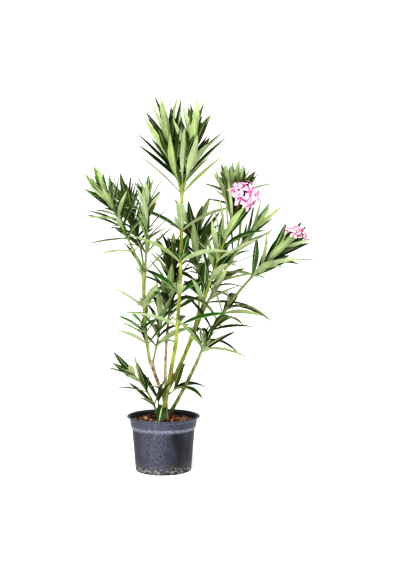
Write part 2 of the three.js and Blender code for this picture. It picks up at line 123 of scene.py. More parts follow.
def roughen(material, shader, size, height, squash=(1, 1, 1)):
    """Small bumps, about this many millimetres across and high."""
    bump = add_node(material, "ShaderNodeBump", {
        "Height": grain(material, size, squash), "Distance": height * MM, "Strength": 1.0})
    material.node_tree.links.new(bump.outputs["Normal"], shader.inputs["Normal"])

# %% [markdown]
# ## Helpers for pieces
#
# Big pieces are shaped from a primitive, as by hand. Small things that come in hundreds, such as
# leaves and chips of bark, are gathered in one heap of corners and faces and become one mesh, in
# which every face knows its own finish. Each finished piece rides on the plant's one body, and the
# nodes of the plain model that it stands for are hidden.

# %% Select, shade and hand in a piece
def deselect():
    bpy.ops.object.select_all(action="DESELECT")


def take_up(piece):
    """Makes a piece the only one that the next operator acts on."""
    deselect()
    piece.select_set(True)
    bpy.context.view_layer.objects.active = piece


def shade(edge):
    """Shades the piece in hand smooth, apart from edges sharper than this many degrees."""
    bpy.ops.object.shade_smooth_by_angle(angle=math.radians(edge))


def hand_in(piece, slot, *nodes):
    """Puts a finished piece on the plant's body, in place of these plain nodes."""
    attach(piece, "root")
    if nodes:
        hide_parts(*nodes)
    print(f"{piece.name}: {len(piece.data.polygons)} faces")


# %% Gather small shapes
class Heap:
    """Corners in millimetres and faces of many small shapes that become one piece."""

    def __init__(self):
        self.corners, self.faces, self.finishes, self.count = [], [], [], 0

    def add(self, corners, faces, finishes):
        self.corners.append(np.asarray(corners, float))
        self.faces.extend([tuple(self.count + i for i in face) for face in faces])
        self.finishes.extend(finishes)
        self.count += len(corners)

    def piece(self, name, edge):
        """One piece of all that was gathered, smooth up to edges of this many degrees."""
        mesh = bpy.data.meshes.new(name)
        mesh.from_pydata((np.vstack(self.corners) * MM).tolist(), [], self.faces)
        used = sorted(set(self.finishes))
        for finish in used:
            mesh.materials.append(bpy.data.materials[finish])
        mesh.polygons.foreach_set("material_index", [used.index(f) for f in self.finishes])
        made = bpy.data.objects.new(name, mesh)
        bpy.context.collection.objects.link(made)
        take_up(made)
        shade(edge)
        return made


# %% Finish a big piece
DOUBLED = 0.02  # corners nearer than this are one


def press(piece, name, kind, size, push):
    """Presses a texture's relief into a piece: marks this many millimetres across and high."""
    texture = bpy.data.textures.new(f"{piece.name}_{name}", kind)
    texture.noise_scale = size * MM
    relief = piece.modifiers.new(name, "DISPLACE")
    relief.texture = texture
    relief.texture_coords = "LOCAL"
    relief.strength = push * MM
    relief.mid_level = 0.5


def apply_modifiers(piece):
    take_up(piece)
    for modifier in list(piece.modifiers):
        bpy.ops.object.modifier_apply(modifier=modifier.name)


def close_up(piece):
    """Merges doubled corners, closes open ends and points the faces outwards."""
    bpy.context.view_layer.objects.active = piece
    bpy.ops.object.mode_set(mode="EDIT")
    bpy.ops.mesh.select_all(action="SELECT")
    bpy.ops.mesh.remove_doubles(threshold=DOUBLED * MM)
    bpy.ops.mesh.select_all(action="DESELECT")
    bpy.ops.mesh.select_non_manifold()
    bpy.ops.mesh.fill_holes(sides=0)
    bpy.ops.mesh.select_all(action="SELECT")
    bpy.ops.mesh.normals_make_consistent(inside=False)
    bpy.ops.object.mode_set(mode="OBJECT")

# %% [markdown]
# ## The pot
#
# A nursery pot is injection-moulded in thin polypropylene: a lip to lift it by, a wider collar
# that nested pots rest on, a step, a tapered wall and a rounded foot with drainage notches. A
# moulded round thing is a section spun about its axis. The section starts as a circle primitive,
# because that is a closed ring of edges already, and each of its corners is moved onto the
# wall's outline. The mould's edges are never sharp, so the outline's corners are rounded first.

# %% Sizes of the pot
WALL = 1.6
POT_HEIGHT = 150
RIM_RADIUS = 100
RIM_WIDTH = 7
RIM_DEPTH = 4
COLLAR_HEIGHT = 27
COLLAR_DRAFT = 4.5
COLLAR_STEP = 3
FOOT_RADIUS = 76.5
FOOT_ROUND = 5
EDGE_ROUND = 1.6
ROUND_SHARE = 0.45  # the most that a rounding takes of a side
ROUND_STEPS = 3
SPIN_STEPS = 144
POT_EDGE = 35  # degrees: edges sharper than this stay crisp

collar_top = POT_HEIGHT - RIM_DEPTH
collar_foot = collar_top - COLLAR_HEIGHT
shoulder = collar_foot - COLLAR_STEP
collar_top_radius = RIM_RADIUS - RIM_WIDTH
collar_foot_radius = collar_top_radius - COLLAR_DRAFT
shoulder_radius = collar_foot_radius - COLLAR_STEP


# %% Spin the pot's section
def rounded(outline, size):
    """A closed outline with each corner, apart from those on the axis, drawn as a small curve."""
    points = []
    for i, corner in enumerate(outline):
        corner = np.array(corner, float)
        if corner[0] == 0:
            points.append(corner)
            continue
        sides = [np.array(outline[i - 1]) - corner, np.array(outline[(i + 1) % len(outline)]) - corner]
        lengths = [np.linalg.norm(side) for side in sides]
        start, end = (corner + side * min(size, length * ROUND_SHARE) / length
                      for side, length in zip(sides, lengths))
        for k in range(ROUND_STEPS + 1):
            t = k / ROUND_STEPS
            points.append(start * (1 - t) ** 2 + corner * 2 * t * (1 - t) + end * t ** 2)
    return points


def spin_pot():
    section = rounded([
        (0, 0),
        (FOOT_RADIUS - WALL, 0),
        (FOOT_RADIUS, FOOT_ROUND),
        (shoulder_radius, shoulder),
        (collar_foot_radius, collar_foot),
        (collar_top_radius, collar_top),
        (RIM_RADIUS - WALL, collar_top),
        (RIM_RADIUS, POT_HEIGHT - RIM_DEPTH / 2),
        (RIM_RADIUS - WALL, POT_HEIGHT),
        (collar_top_radius, POT_HEIGHT),
        (collar_top_radius - WALL, collar_top),
        (collar_foot_radius - WALL, collar_foot),
        (shoulder_radius - WALL, shoulder),
        (FOOT_RADIUS - WALL, FOOT_ROUND),
        (FOOT_RADIUS - 2 * WALL, WALL),
        (0, WALL),
    ], EDGE_ROUND)
    deselect()
    bpy.ops.mesh.primitive_circle_add(vertices=len(section), radius=MM)
    pot = bpy.context.object
    pot.name = "nursery_pot"
    for corner, (radius, height) in zip(pot.data.vertices, section):
        corner.co = (radius * MM, 0, height * MM)
    bpy.ops.object.mode_set(mode="EDIT")
    bpy.ops.mesh.select_all(action="SELECT")
    bpy.ops.mesh.spin(steps=SPIN_STEPS, angle=2 * math.pi, center=(0, 0, 0), axis=(0, 0, 1))
    bpy.ops.object.mode_set(mode="OBJECT")
    close_up(pot)
    return pot


pot = spin_pot()

# %% Cut the drainage notches
DRAIN_HOLES = 8
DRAIN_WIDTH = 14
DRAIN_HEIGHT = 5
DRAIN_DEPTH = 20
DRAIN_TURN = -79


def drain_cutter():
    """A ring of blocks that stand half below the pot's foot."""
    deselect()
    cutters = []
    for i in range(DRAIN_HOLES):
        turn = math.radians(DRAIN_TURN + 360 / DRAIN_HOLES * i)
        radius = (FOOT_RADIUS + FOOT_ROUND) * MM
        bpy.ops.mesh.primitive_cube_add(
            size=1, location=(radius * math.cos(turn), radius * math.sin(turn), 0),
            rotation=(0, 0, turn),
            scale=(DRAIN_DEPTH * MM, DRAIN_WIDTH * MM, 2 * DRAIN_HEIGHT * MM))
        cutters.append(bpy.context.object)
    for cutter in cutters:
        cutter.select_set(True)
    bpy.ops.object.join()
    return bpy.context.object


cutter = drain_cutter()
notches = pot.modifiers.new("notches", "BOOLEAN")
notches.operation = "DIFFERENCE"
notches.solver = "EXACT"
notches.object = cutter
apply_modifiers(pot)
shade(POT_EDGE)
bpy.data.objects.remove(cutter)

# %% [markdown]
# ## The pot's finish
#
# Black polypropylene that has stood outside looks blue-grey. Dust lies on the collar, and
# splashed soil and lime dry in pale specks near the foot. Painted highlights run down the wall a
# little left of its middle, along the step and under the lip, broken up by the same noise as the
# dust. Each of these is a layer of its own: a band across or up the pot says where it lies, and a
# noise breaks it up. The inner wall has no dust, and its darker black is in part painted shade
# inside the pot.

# %% Where dust, soil, lime and painted highlights lie
LAYERS = (  # axis, band (low, high, fade) in mm, what breaks it up, the most it hides, colour
    ("X", (-28, -16, 50), "dust_and_highlight", 0.8, "#686a7a"),  # a painted highlight down the wall, a little left of its middle
    ("Z", (collar_foot, POT_HEIGHT, 2), "dust_and_highlight", 0.5, "#646878"),  # the collar
    ("Z", (shoulder, collar_foot + 3, 4), "dust_and_highlight", 0.85, "#8d91a0"),  # a painted highlight along the step
    ("Z", (collar_top - 5, collar_top - 1, 2), "dust_and_highlight", 0.45, "#7d8294"),  # a painted highlight under the lip
    ("Z", (-5, 8, 30), "splashes", 0.75, "#524d4b"),  # splashed soil near the foot
    ("Z", (-5, 5, 20), "lime", 0.6, "#9c9792"),  # and the lime that dries in it
)
STREAK, STREAK_DRAWN = 36, (1, 1, 0.45)  # rain draws its streaks out along the height
DUST_AND_HIGHLIGHT_GRAIN = 2.4  # the grain of the dust and of the painted highlights: coarser than real dust, which would be too fine to show
SPLASH = 6
LAYER_EDGE = (0.36, 0.64)  # the values of a noise between which a layer thickens
LIME_EDGE = (0.46, 0.64)
STREAK_SPREAD = (0.34, 0.68)  # of the streaks' three tones
STREAK_EDGE, SHEEN = (0.3, 0.7), (0.4, 0.62)  # dusty streaks are rougher than clean ones
MOULD_GRAIN = (3, 0.12)  # size and height of the bumps, as for all grains below
INNER_PATCH = 12


def band(material, axis, low, high, fade):
    """How much of a band, in millimetres along an axis, is here: 1 inside it, 0 outside."""
    rise = add_node(material, "ShaderNodeMapRange", {
        "Value": axis, "From Min": (low - fade) * MM, "From Max": low * MM})
    fall = add_node(material, "ShaderNodeMapRange", {
        "Value": axis, "From Min": high * MM, "From Max": (high + fade) * MM,
        "To Min": 1.0, "To Max": 0.0})
    return add_node(material, "ShaderNodeMath", {
        0: rise.outputs["Result"], 1: fall.outputs["Result"]}, operation="MULTIPLY").outputs["Value"]


# %% Weathered polypropylene with painted highlights
def weathered_polypropylene():
    """Moulded plastic, half matt: it reads as a dull dark sheen under uneven blue-grey dirt, with painted
    highlights on the wall, the step and under the lip.
    """
    material, shader = new_finish(
        "weathered polypropylene", "#1c1e28", 0.5, IOR=1.49, Specular_IOR_Level=0.3)
    streaks = grain(material, STREAK, STREAK_DRAWN, detail=10)
    splashes = grain(material, SPLASH, detail=10)
    lime = add_node(material, "ShaderNodeMapRange", {
        "Value": splashes, "From Min": LIME_EDGE[0], "From Max": LIME_EDGE[1]})
    # the dust noise also breaks up the painted highlights
    breaks = {"dust_and_highlight": grain(material, DUST_AND_HIGHLIGHT_GRAIN, detail=8), "splashes": splashes,
              "lime": lime.outputs["Result"]}
    place = add_node(material, "ShaderNodeTexCoord").outputs["Object"]
    axes = add_node(material, "ShaderNodeSeparateXYZ", {"Vector": place}).outputs
    colour = mottled(
        material, shader, streaks, ["#07080c", "#15161e", "#30323e"], STREAK_SPREAD)
    for axis, stretch, broken_by, most, tone in LAYERS:
        thick = add_node(material, "ShaderNodeMapRange", {
            "Value": breaks[broken_by], "From Min": LAYER_EDGE[0], "From Max": LAYER_EDGE[1],
            "To Max": most})
        share = add_node(material, "ShaderNodeMath", {
            0: band(material, axes[axis], *stretch), 1: thick.outputs["Result"]},
            operation="MULTIPLY")
        colour = add_node(material, "ShaderNodeMix", {
            "Factor": share.outputs["Value"], "A": colour, "B": linear(tone)},
            data_type="RGBA").outputs["Result"]
    material.node_tree.links.new(colour, shader.inputs["Base Color"])
    sheen = add_node(material, "ShaderNodeMapRange", {
        "Value": streaks, "From Min": STREAK_EDGE[0], "From Max": STREAK_EDGE[1],
        "To Min": SHEEN[0], "To Max": SHEEN[1]})
    material.node_tree.links.new(sheen.outputs["Result"], shader.inputs["Roughness"])
    roughen(material, shader, *MOULD_GRAIN)
    return material


def moist_polypropylene():
    """The inner wall, plain deep black without dust and darker than the outside: partly painted shade
    inside the pot, so the soil stands out from it.
    """
    material, shader = new_finish("moist black polypropylene", "#0c0c0f", 0.55, IOR=1.49)
    mottled(material, shader, grain(material, INNER_PATCH, detail=4), ["#060607", "#121216"])
    return material


pot.data.materials.clear()
pot.data.materials.append(weathered_polypropylene())
pot.data.materials.append(moist_polypropylene())
# inner faces below the collar's top get the black with painted shade
for face in pot.data.polygons:
    outward = face.normal.x * face.center.x + face.normal.y * face.center.y
    face.material_index = int(outward < 0 and face.center.z < collar_top * MM)
hand_in(pot, "pot", "pot")

# %% [markdown]
# ## The soil
#
# Potting mix is a loose, dark, clumped surface with chips of bark lying in it. The surface is a
# disc of a fine grid, pushed up and down by two textures: large clods and small crumbs. The
# chips are hundreds of small broken blocks, gathered in one heap and laid on that surface.

# %% Lay the soil
SOIL_TOP = 138
SOIL_DROP = 3  # how much lower the soil lies against the wall
SOIL_RADIUS = 89.3
SOIL_THICK = 4
SOIL_CELLS = 130
SOIL_RELIEF = (("clods", "CLOUDS", 14, 5), ("crumbs", "CLOUDS", 4, 3.2))
SOIL_EDGE = 60
MIX_PATCH = 6
MIX_SPREAD = (0.3, 0.72)
MIX_GRAIN = (1.6, 1.2)


def potting_mix():
    """Moist peat and bark: it reads as a matt, near black brown with lighter crumbs."""
    material, shader = new_finish("potting mix", "#2a1c13", 0.95)
    mottled(material, shader, grain(material, MIX_PATCH, detail=8), ["#0d0705", "#20130c", "#3d2718"],
            MIX_SPREAD)
    roughen(material, shader, *MIX_GRAIN)
    return material


def make_soil():
    deselect()
    bpy.ops.mesh.primitive_grid_add(
        x_subdivisions=SOIL_CELLS, y_subdivisions=SOIL_CELLS, size=2 * SOIL_RADIUS * MM)
    soil = bpy.context.object
    soil.name = "potting_soil"
    bpy.ops.object.mode_set(mode="EDIT")
    bpy.ops.mesh.select_all(action="DESELECT")
    bpy.ops.object.mode_set(mode="OBJECT")
    for corner in soil.data.vertices:
        corner.select = math.hypot(corner.co.x, corner.co.y) > SOIL_RADIUS * MM
    bpy.ops.object.mode_set(mode="EDIT")
    bpy.ops.mesh.delete(type="VERT")
    bpy.ops.object.mode_set(mode="OBJECT")
    for corner in soil.data.vertices:
        share = math.hypot(corner.co.x, corner.co.y) / (SOIL_RADIUS * MM)
        corner.co.z = (SOIL_TOP - SOIL_DROP * share ** 4) * MM
    for relief in SOIL_RELIEF:
        press(soil, *relief)
    apply_modifiers(soil)
    bpy.ops.object.mode_set(mode="EDIT")
    bpy.ops.mesh.select_all(action="SELECT")
    bpy.ops.mesh.extrude_region_move(TRANSFORM_OT_translate={"value": (0, 0, -SOIL_THICK * MM)})
    bpy.ops.mesh.select_all(action="SELECT")
    bpy.ops.mesh.normals_make_consistent(inside=False)
    bpy.ops.object.mode_set(mode="OBJECT")
    shade(SOIL_EDGE)
    soil.data.materials.append(potting_mix())
    return soil


soil = make_soil()
hand_in(soil, "soil", "soil")

# %% Chips of bark and wood in the mix
CHIPS = 760
CHIP_FINISHES = {  # all matt and a little rough: they read as dry crumbs on the dark mix
    "composted bark": "#24150d",
    "pine bark": "#4b2c1b",
    "rusty pine bark": "#8f4a1e",
    "wood fibre": "#b08a5c",
    "pale wood fibre": "#d3b58a",
}
CHIP_GRAIN = (1.5, 0.5)
CHIP_SHARES = (0.46, 0.27, 0.15, 0.07, 0.05)
CHIP_SIZES = ((4, 12), (2.5, 6), (1.2, 3))  # length, width and thickness
CHIP_BREAKS = (0.7, 1.2)  # how far each corner of a broken block is off
CHIP_TILT = 0.5  # radians
CHIP_LIFT = 0.4
CHIP_MARGIN = 5  # how far the chips stay from the wall
CHIP_EDGE = 20
ABOVE_SOIL = 200  # chips are dropped from here
CUBE_CORNERS = np.array([(x, y, z) for x in (-1, 1) for y in (-1, 1) for z in (-1, 1)], float) / 2
CUBE_FACES = ((0, 1, 3, 2), (4, 6, 7, 5), (0, 4, 5, 1), (2, 3, 7, 6), (0, 2, 6, 4), (1, 5, 7, 3))


def scatter_chips():
    for name, colour in CHIP_FINISHES.items():
        material, shader = new_finish(name, colour, 0.9)
        roughen(material, shader, *CHIP_GRAIN)
    rng = np.random.default_rng(41)
    ground = BVHTree.FromObject(soil, bpy.context.evaluated_depsgraph_get())
    down = Vector((0, 0, -1))
    heap = Heap()
    for _ in range(CHIPS):
        radius = (SOIL_RADIUS - CHIP_MARGIN) * math.sqrt(rng.random())
        turn = rng.random() * 2 * math.pi
        x, y = radius * math.cos(turn), radius * math.sin(turn)
        hit = ground.ray_cast(Vector((x * MM, y * MM, ABOVE_SOIL * MM)), down)[0]
        size = np.array([rng.uniform(*limits) for limits in CHIP_SIZES])
        corners = CUBE_CORNERS * size * rng.uniform(*CHIP_BREAKS, (len(CUBE_CORNERS), 3))
        turned = Matrix.Rotation(rng.uniform(-CHIP_TILT, CHIP_TILT), 3, "X")
        turned = turned @ Matrix.Rotation(rng.uniform(-CHIP_TILT, CHIP_TILT), 3, "Y")
        turned = Matrix.Rotation(rng.uniform(0, 2 * math.pi), 3, "Z") @ turned
        corners = corners @ np.array(turned).T + (x, y, hit.z / MM + CHIP_LIFT)
        finish = str(rng.choice(list(CHIP_FINISHES), p=CHIP_SHARES))
        heap.add(corners, CUBE_FACES, [finish] * len(CUBE_FACES))
    return heap.piece("bark_chips", CHIP_EDGE)


hand_in(scatter_chips(), "soil")

# %% [markdown]
# ## The growth rule
#
# Every limb, stem and leaf follows one rule. A limb starts at a lean and a bearing and turns
# evenly as it grows. Leaves stand round it in whorls of three, each whorl over the gaps of the
# one below. Chance, which is always the same for the same leaf, varies how long a leaf is, how
# far it opens and how it rolls. The tables below are the plain model's own: lengths in
# millimetres, turns in degrees, and for the leaves one value each for the oldest and the
# youngest whorl. Six keys are for the fine leaves alone. The tint runs from 0, dark with painted
# shade, to 4, bright. The shade and the droop say how much darker, as painted shade, and how much
# lower the leaves between the whorls are. Bare and sparse are stretches without leaves, or
# without those between, and clear is a bearing that is kept open.

# %% The limbs
LIMB_STEP = 36
FLARE_REACH = 0.2

BOUGHS = {
    "trunk": dict(
        ground=(5, 4), length=77, lean=3, toward=100, radius=(6.5, 6.5), flare=4, fork=5, rings=7),
    "leader_bough": dict(
        ground=(-5, -18), length=221, lean=12, toward=7, curl=-3, sway=-3, radius=(6.2, 5.6),
        flare=0.9),
    "far_bough": dict(
        ground=(9, 20), length=197, lean=32, toward=-22, curl=-3, sway=-17, radius=(5.4, 4.6)),
    "left_bough": dict(
        on="trunk", seat=(7.5, 175), length=86, lean=33, toward=150, curl=-14, sway=-14,
        radius=(4.8, 4.6), fork=3),
    "centre_bough": dict(
        on="trunk", seat=(6.5, 75), length=204, lean=20, toward=100, curl=-8, sway=-37,
        radius=(4.2, 3.6)),
    "right_bough": dict(
        on="trunk", seat=(7, -40), length=229, lean=29, toward=9, curl=-11, sway=2,
        radius=(5.4, 5), fork=4),
}

# %% The leafy stems, with the tint of their oldest and youngest leaves
# the lowest tint, shade, is painted shade for leaves deep inside the plant
TINTS = ("shade", "old", "mature", "fresh", "spring")

MASSES = {
    "leader_tier": dict(
        on="leader_bough", length=393, lean=5, toward=6, curl=-5, sway=35, radius=(5.6, 4.6),
        leaves=dict(whorls=4, first=41, gap=86, shrink=1, turn=-35, open=(68, 54), sag=(0.3, 0.5),
                    size=(158, 186), width=25, seed=254, tint=(1.8, 2))),
    "leader_crown": dict(
        on="leader_tier", length=118, lean=5, toward=80, radius=(4.6, 2.4),
        leaves=dict(whorls=4, first=5, gap=42, shrink=0.85, turn=-30, open=(48, 14), sag=(0.05, 0),
                    size=(165, 122), width=21, seed=107, tint=(2.3, 1.6), shade=2.2),
        twigs=[
            dict(start=6, length=146, lean=20, toward=-165, curl=-12, radius=(3.4, 2.2),
                 leaves=dict(whorls=6, first=44, gap=29, shrink=0.86, turn=-90, open=(34, 10),
                             sag=(0, 0), size=(165, 138), width=22, seed=5, tint=(2.4, 1.2),
                             shade=2.2)),
            dict(start=8, length=146, lean=21, toward=-20, curl=-15, radius=(3.4, 2.2),
                 leaves=dict(whorls=6, first=44, gap=29, shrink=0.86, turn=-90, open=(34, 10),
                             sag=(0, 0), size=(146, 106), width=22, seed=8, tint=(2.4, 1.2),
                             shade=2.2))]),
    "left_fan": dict(
        on="left_bough", seat=(5, 200), length=254, lean=10, toward=207, curl=-12, sway=20,
        radius=(4.6, 4), fork=3.4,
        leaves=dict(whorls=3, first=51, gap=100, shrink=0.94, turn=-135, open=(55, 40),
                    sag=(0.1, 0.3), size=(120, 115), width=19, seed=144, tint=(1.4, 1.8)),
        twigs=[dict(
            start=75, length=45, lean=35, toward=-115, curl=-10, radius=(2.2, 1.8),
            leaves=dict(whorls=3, first=10, gap=15, shrink=0.84, turn=-103, open=(47, 58),
                        sag=(0.1, 0), size=(100, 60), width=15, seed=229, tint=(2, 3)))]),
    "left_outer": dict(
        on="left_fan", seat=(4.4, -150), length=239, lean=27, toward=-144, curl=6, sway=8,
        radius=(3.6, 2.4),
        leaves=dict(whorls=8, first=62, gap=40, shrink=0.82, turn=-90, open=(70, 14),
                    sag=(0.15, -0.2), size=(120, 90), width=17, seed=224, droop=0.3, tint=(1.6, 3.2),
                    sparse=(0, 130))),
    # painted shade: nearly all leaves of this back mass take the shade tint
    "left_back": dict(
        on="left_fan", seat=(4.4, 90), length=206, lean=29, toward=104, sway=29,
        radius=(3.2, 2.4),
        leaves=dict(whorls=8, first=70, gap=34, shrink=0.82, turn=-16, open=(45, 19),
                    sag=(0.4, -0.2), size=(100, 104), width=17, seed=5, tint=(-0.4, 0.2))),
    "left_inner": dict(
        on="left_fan", seat=(4.4, -30), length=194, lean=3, toward=-48, curl=6, sway=-37,
        radius=(3.4, 2.4),
        leaves=dict(whorls=7, first=45, gap=43, shrink=0.8, turn=-90, open=(43, 14), sag=(0, 0.2),
                    size=(105, 80), width=16, seed=28, droop=0.5, tint=(1.6, 2.7),
                    sparse=(0, 80))),
    "left_twig": dict(
        on="left_bough", seat=(4.2, 20), length=168, lean=22, toward=57, curl=-6, sway=-9,
        radius=(3, 2.4),
        leaves=dict(whorls=3, first=44, gap=49, shrink=0.86, turn=-52, open=(54, 24),
                    sag=(0.5, 0.2), size=(150, 125), width=20, seed=204, droop=0.5, tint=(1.2, 1.8))),
    "centre_spray": dict(
        on="centre_bough", length=158, lean=14, toward=67, curl=-4, sway=13, radius=(3.5, 2.4),
        leaves=dict(whorls=7, first=10, gap=39, shrink=0.85, turn=-30, open=(50, 12),
                    sag=(0.3, 0.15), size=(122, 92), width=21, seed=151, droop=0.7, tint=(0.2, 0.7))),
    "right_back": dict(
        on="right_bough", seat=(5.8, 140), length=237, lean=33, toward=83, curl=-12, sway=24,
        radius=(3.6, 2.4),
        leaves=dict(whorls=8, first=56, gap=57, shrink=0.76, turn=-92, open=(42, 26),
                    sag=(0.1, 0.2), size=(130, 115), width=22, seed=235, droop=0.9, tint=(0.2, 0.9))),
    "bloom": dict(
        on="right_bough", seat=(6, -85), length=275, lean=19, toward=-36, curl=10, sway=-12,
        radius=(4.4, 3.6),
        leaves=dict(whorls=5, first=30, gap=68, shrink=0.93, turn=-11, open=(38, 24),
                    sag=(0.3, 0.2), size=(138, 150), width=21, seed=92, droop=0.9, tint=(1.9, 2.8),
                    clear=-90),
        twigs=[
            dict(start=275, length=74, lean=12, toward=54, curl=-4, radius=(2.8, 2.2),
                 leaves=dict(whorls=7, first=8, gap=12, shrink=0.95, turn=-58, open=(34, 18),
                             sag=(0.05, 0), size=(146, 92), width=20, seed=14, tint=(0.5, 1.1),
                             shade=1.2)),
            dict(start=272, length=80, lean=28, toward=-48, curl=4, radius=(1.9, 1.6),
                 flowers=12, spread=92, stalks=(26, 46), opened=1, seed=20)]),
    "right_spray": dict(
        on="right_bough", seat=(6, 28), length=278, lean=33, toward=44, curl=3, sway=-34,
        radius=(4.2, 2.8),
        leaves=dict(whorls=7, first=40, gap=65, shrink=0.84, turn=-91, open=(55, 12),
                    sag=(0.3, -0.2), size=(155, 102), width=17, seed=210, droop=0.8, tint=(1.8, 2.6),
                    clear=-90)),
    "far_spray": dict(
        on="far_bough", length=398, lean=24, toward=22, curl=28, sway=-53, radius=(4.5, 2.8),
        leaves=dict(whorls=10, first=30, gap=58, shrink=0.9, turn=-35, open=(63, 14),
                    sag=(0.45, -0.1), size=(132, 115), width=21, seed=363, droop=0.7, tint=(0.9, 1.7),
                    bare=(164, 262)),
        twigs=[
            dict(start=150, length=9, lean=55, toward=-12, radius=(2, 1.6),
                 leaves=dict(whorls=1, first=7, gap=10, shrink=1, turn=-12, open=(8, 8),
                             sag=(1.5, 1.5), size=(145, 145), width=13, seed=2, left=1, tint=(1, 1))),
            dict(start=318, length=9, lean=74, toward=-4, radius=(2, 1.6),
                 leaves=dict(whorls=1, first=7, gap=10, shrink=1, turn=-4, open=(9, 9),
                             sag=(0.1, 0.1), size=(160, 160), width=15, seed=3, left=1, tint=(1.6, 1.6))),
            dict(start=392, length=38, lean=46, toward=-30, radius=(1.7, 1.4),
                 flowers=7, spread=70, stalks=(24, 34), opened=0.62, seed=60)]),
    "low_left": dict(
        ground=(-14, 12), length=167, lean=23, toward=-121, curl=26, sway=-21, radius=(3.4, 2.2),
        leaves=dict(whorls=5, first=44, gap=50, shrink=0.74, turn=-105, open=(42, 22),
                    sag=(0.2, 0), size=(100, 78), width=17, seed=320, droop=0.4, tint=(0.5, 1.4))),
    "basal_sprig": dict(
        ground=(-15, -6), length=92, lean=2, toward=0, radius=(2.6, 2),
        leaves=dict(whorls=2, first=52, gap=34, shrink=1, turn=180, open=(42, 78), sag=(0.3, 0.1),
                    size=(112, 100), width=20, seed=34, left=2, tint=(0.3, 0.5))),
    "basal_leaf": dict(
        ground=(1, -31), length=42, lean=4, toward=-90, radius=(2.6, 2.2),
        leaves=dict(whorls=1, first=38, gap=10, shrink=1, turn=-112, open=(50, 50),
                    sag=(3, 3), size=(74, 74), width=28, seed=3, left=1, tint=(0.6, 0.6))),
    "fork_sprig": dict(
        on="trunk", side=(70, -20), length=22, lean=60, toward=-15, curl=-20, radius=(2.4, 1.8),
        leaves=dict(whorls=1, first=18, gap=10, shrink=1, turn=-62, open=(38, 38), sag=(1, 1),
                    size=(105, 105), width=22, seed=17, tint=(0, 0))),
}


# %% Directions, chance and the way a limb grows
def unit(vector):
    return vector / np.linalg.norm(vector)


def bearing(turn):
    return np.array((math.cos(math.radians(turn)), math.sin(math.radians(turn)), 0.0))


def square(vector, axis):
    """The part of a vector that is square to an axis, at length 1."""
    return unit(vector - axis * vector.dot(axis))


def lerp(start, end, share):
    return start + (end - start) * share


CHANCE_WEIGHTS = (12.9898, 78.233, 37.719, 9.137)  # uneven, so that no two keys mix alike
CHANCE_SCALE = 43758.5453  # so large that only the digits after its point are left to chance


def chance(*key):
    """Chance from -1 to 1 that is always the same for the same shoot, whorl, leaf and use."""
    mix = sum(value * weight for value, weight in zip(key, CHANCE_WEIGHTS))
    scaled = math.sin(mix) * CHANCE_SCALE
    return (scaled - math.floor(scaled)) * 2 - 1


def heading(limb, share):
    tilt = math.radians(limb["lean"] + limb.get("curl", 0) * share)
    flat = bearing(limb["toward"] + limb.get("sway", 0) * share) * math.sin(tilt)
    return flat + np.array((0, 0, math.cos(tilt)))


def grow(limb, foot):
    """Lays out a limb's middle line from its foot."""
    steps = limb.get("rings") or max(2, round(limb["length"] / LIMB_STEP))
    points = [foot]
    for i in range(steps):
        points.append(points[i] + heading(limb, (i + 0.5) / steps) * limb["length"] / steps)
    limb["points"] = points


def point_on(limb, distance):
    """The point of the middle line at a distance from the foot."""
    steps = len(limb["points"]) - 1
    along = min(distance / limb["length"], 1) * steps
    i = min(int(along), steps - 1)
    return lerp(limb["points"][i], limb["points"][i + 1], along - i)


def radius_at(limb, share):
    flare = limb.get("flare", 0) * math.exp(-share / FLARE_REACH)
    fork = limb.get("fork", 0) * math.exp((share - 1) / FLARE_REACH)
    return lerp(*limb["radius"], share) + flare + fork


def stand(limb, limbs):
    """Stands a limb on the soil, on another limb's tip or on its side, and grows it."""
    if "ground" in limb:
        foot, normal = np.array((*limb["ground"], SOIL_TOP), float), np.array((0, 0, 1.0))
    elif "side" in limb:
        parent, (distance, turn) = limbs[limb["on"]], limb["side"]
        normal = square(bearing(turn), heading(parent, distance / parent["length"]))
        foot = point_on(parent, distance) + normal * radius_at(parent, 1)
    else:
        parent = limbs[limb["on"]]
        foot, normal = parent["points"][-1], heading(parent, 1)
    if "seat" in limb:
        foot = foot + square(bearing(limb["seat"][1]), normal) * limb["seat"][0]
    grow(limb, foot)


limbs = {**BOUGHS, **MASSES}
for limb in limbs.values():
    stand(limb, limbs)
for mass in MASSES.values():
    for twig in mass.get("twigs", ()):
        grow(twig, point_on(mass, twig["start"]))
print("limbs:", len(BOUGHS), "boughs and", len(MASSES), "leafy stems")

# %% [markdown]
# ## Trunk and boughs
#
# The old wood at the foot wears thin tan bark with shallow cracks and corky spots, and the
# younger boughs are still smooth and yellow-green, ringed where leaves have dropped. Each limb is
# rolled up from a flat grid, whose columns go round the limb and whose rows follow its middle
# line. Old leaf scars are pushed out as the rows are laid, and two displacement textures press
# the bark's cracks and corky spots into the mesh itself.

# %% Roll a limb up from a grid
ROW_STEP = 2.5
COLUMNS = 28
SINK = 8  # how far a limb runs on into what it grows from
DOME = 0.7  # how high a limb's rounded end is, as a share of its radius
LEAVES_IN_WHORL = 3
WHORL_TURN = 60  # each whorl stands over the gaps of the one below
SCAR_GAP = 34
SCAR_MARGIN = 8
SCAR_REACH = 2.6
SCAR_HEIGHT = 0.7
SCAR_RING = 0.55  # the share of a scar's height that runs all the way round
SCAR_LIMB = 3  # scars are lower on limbs of a smaller radius than this


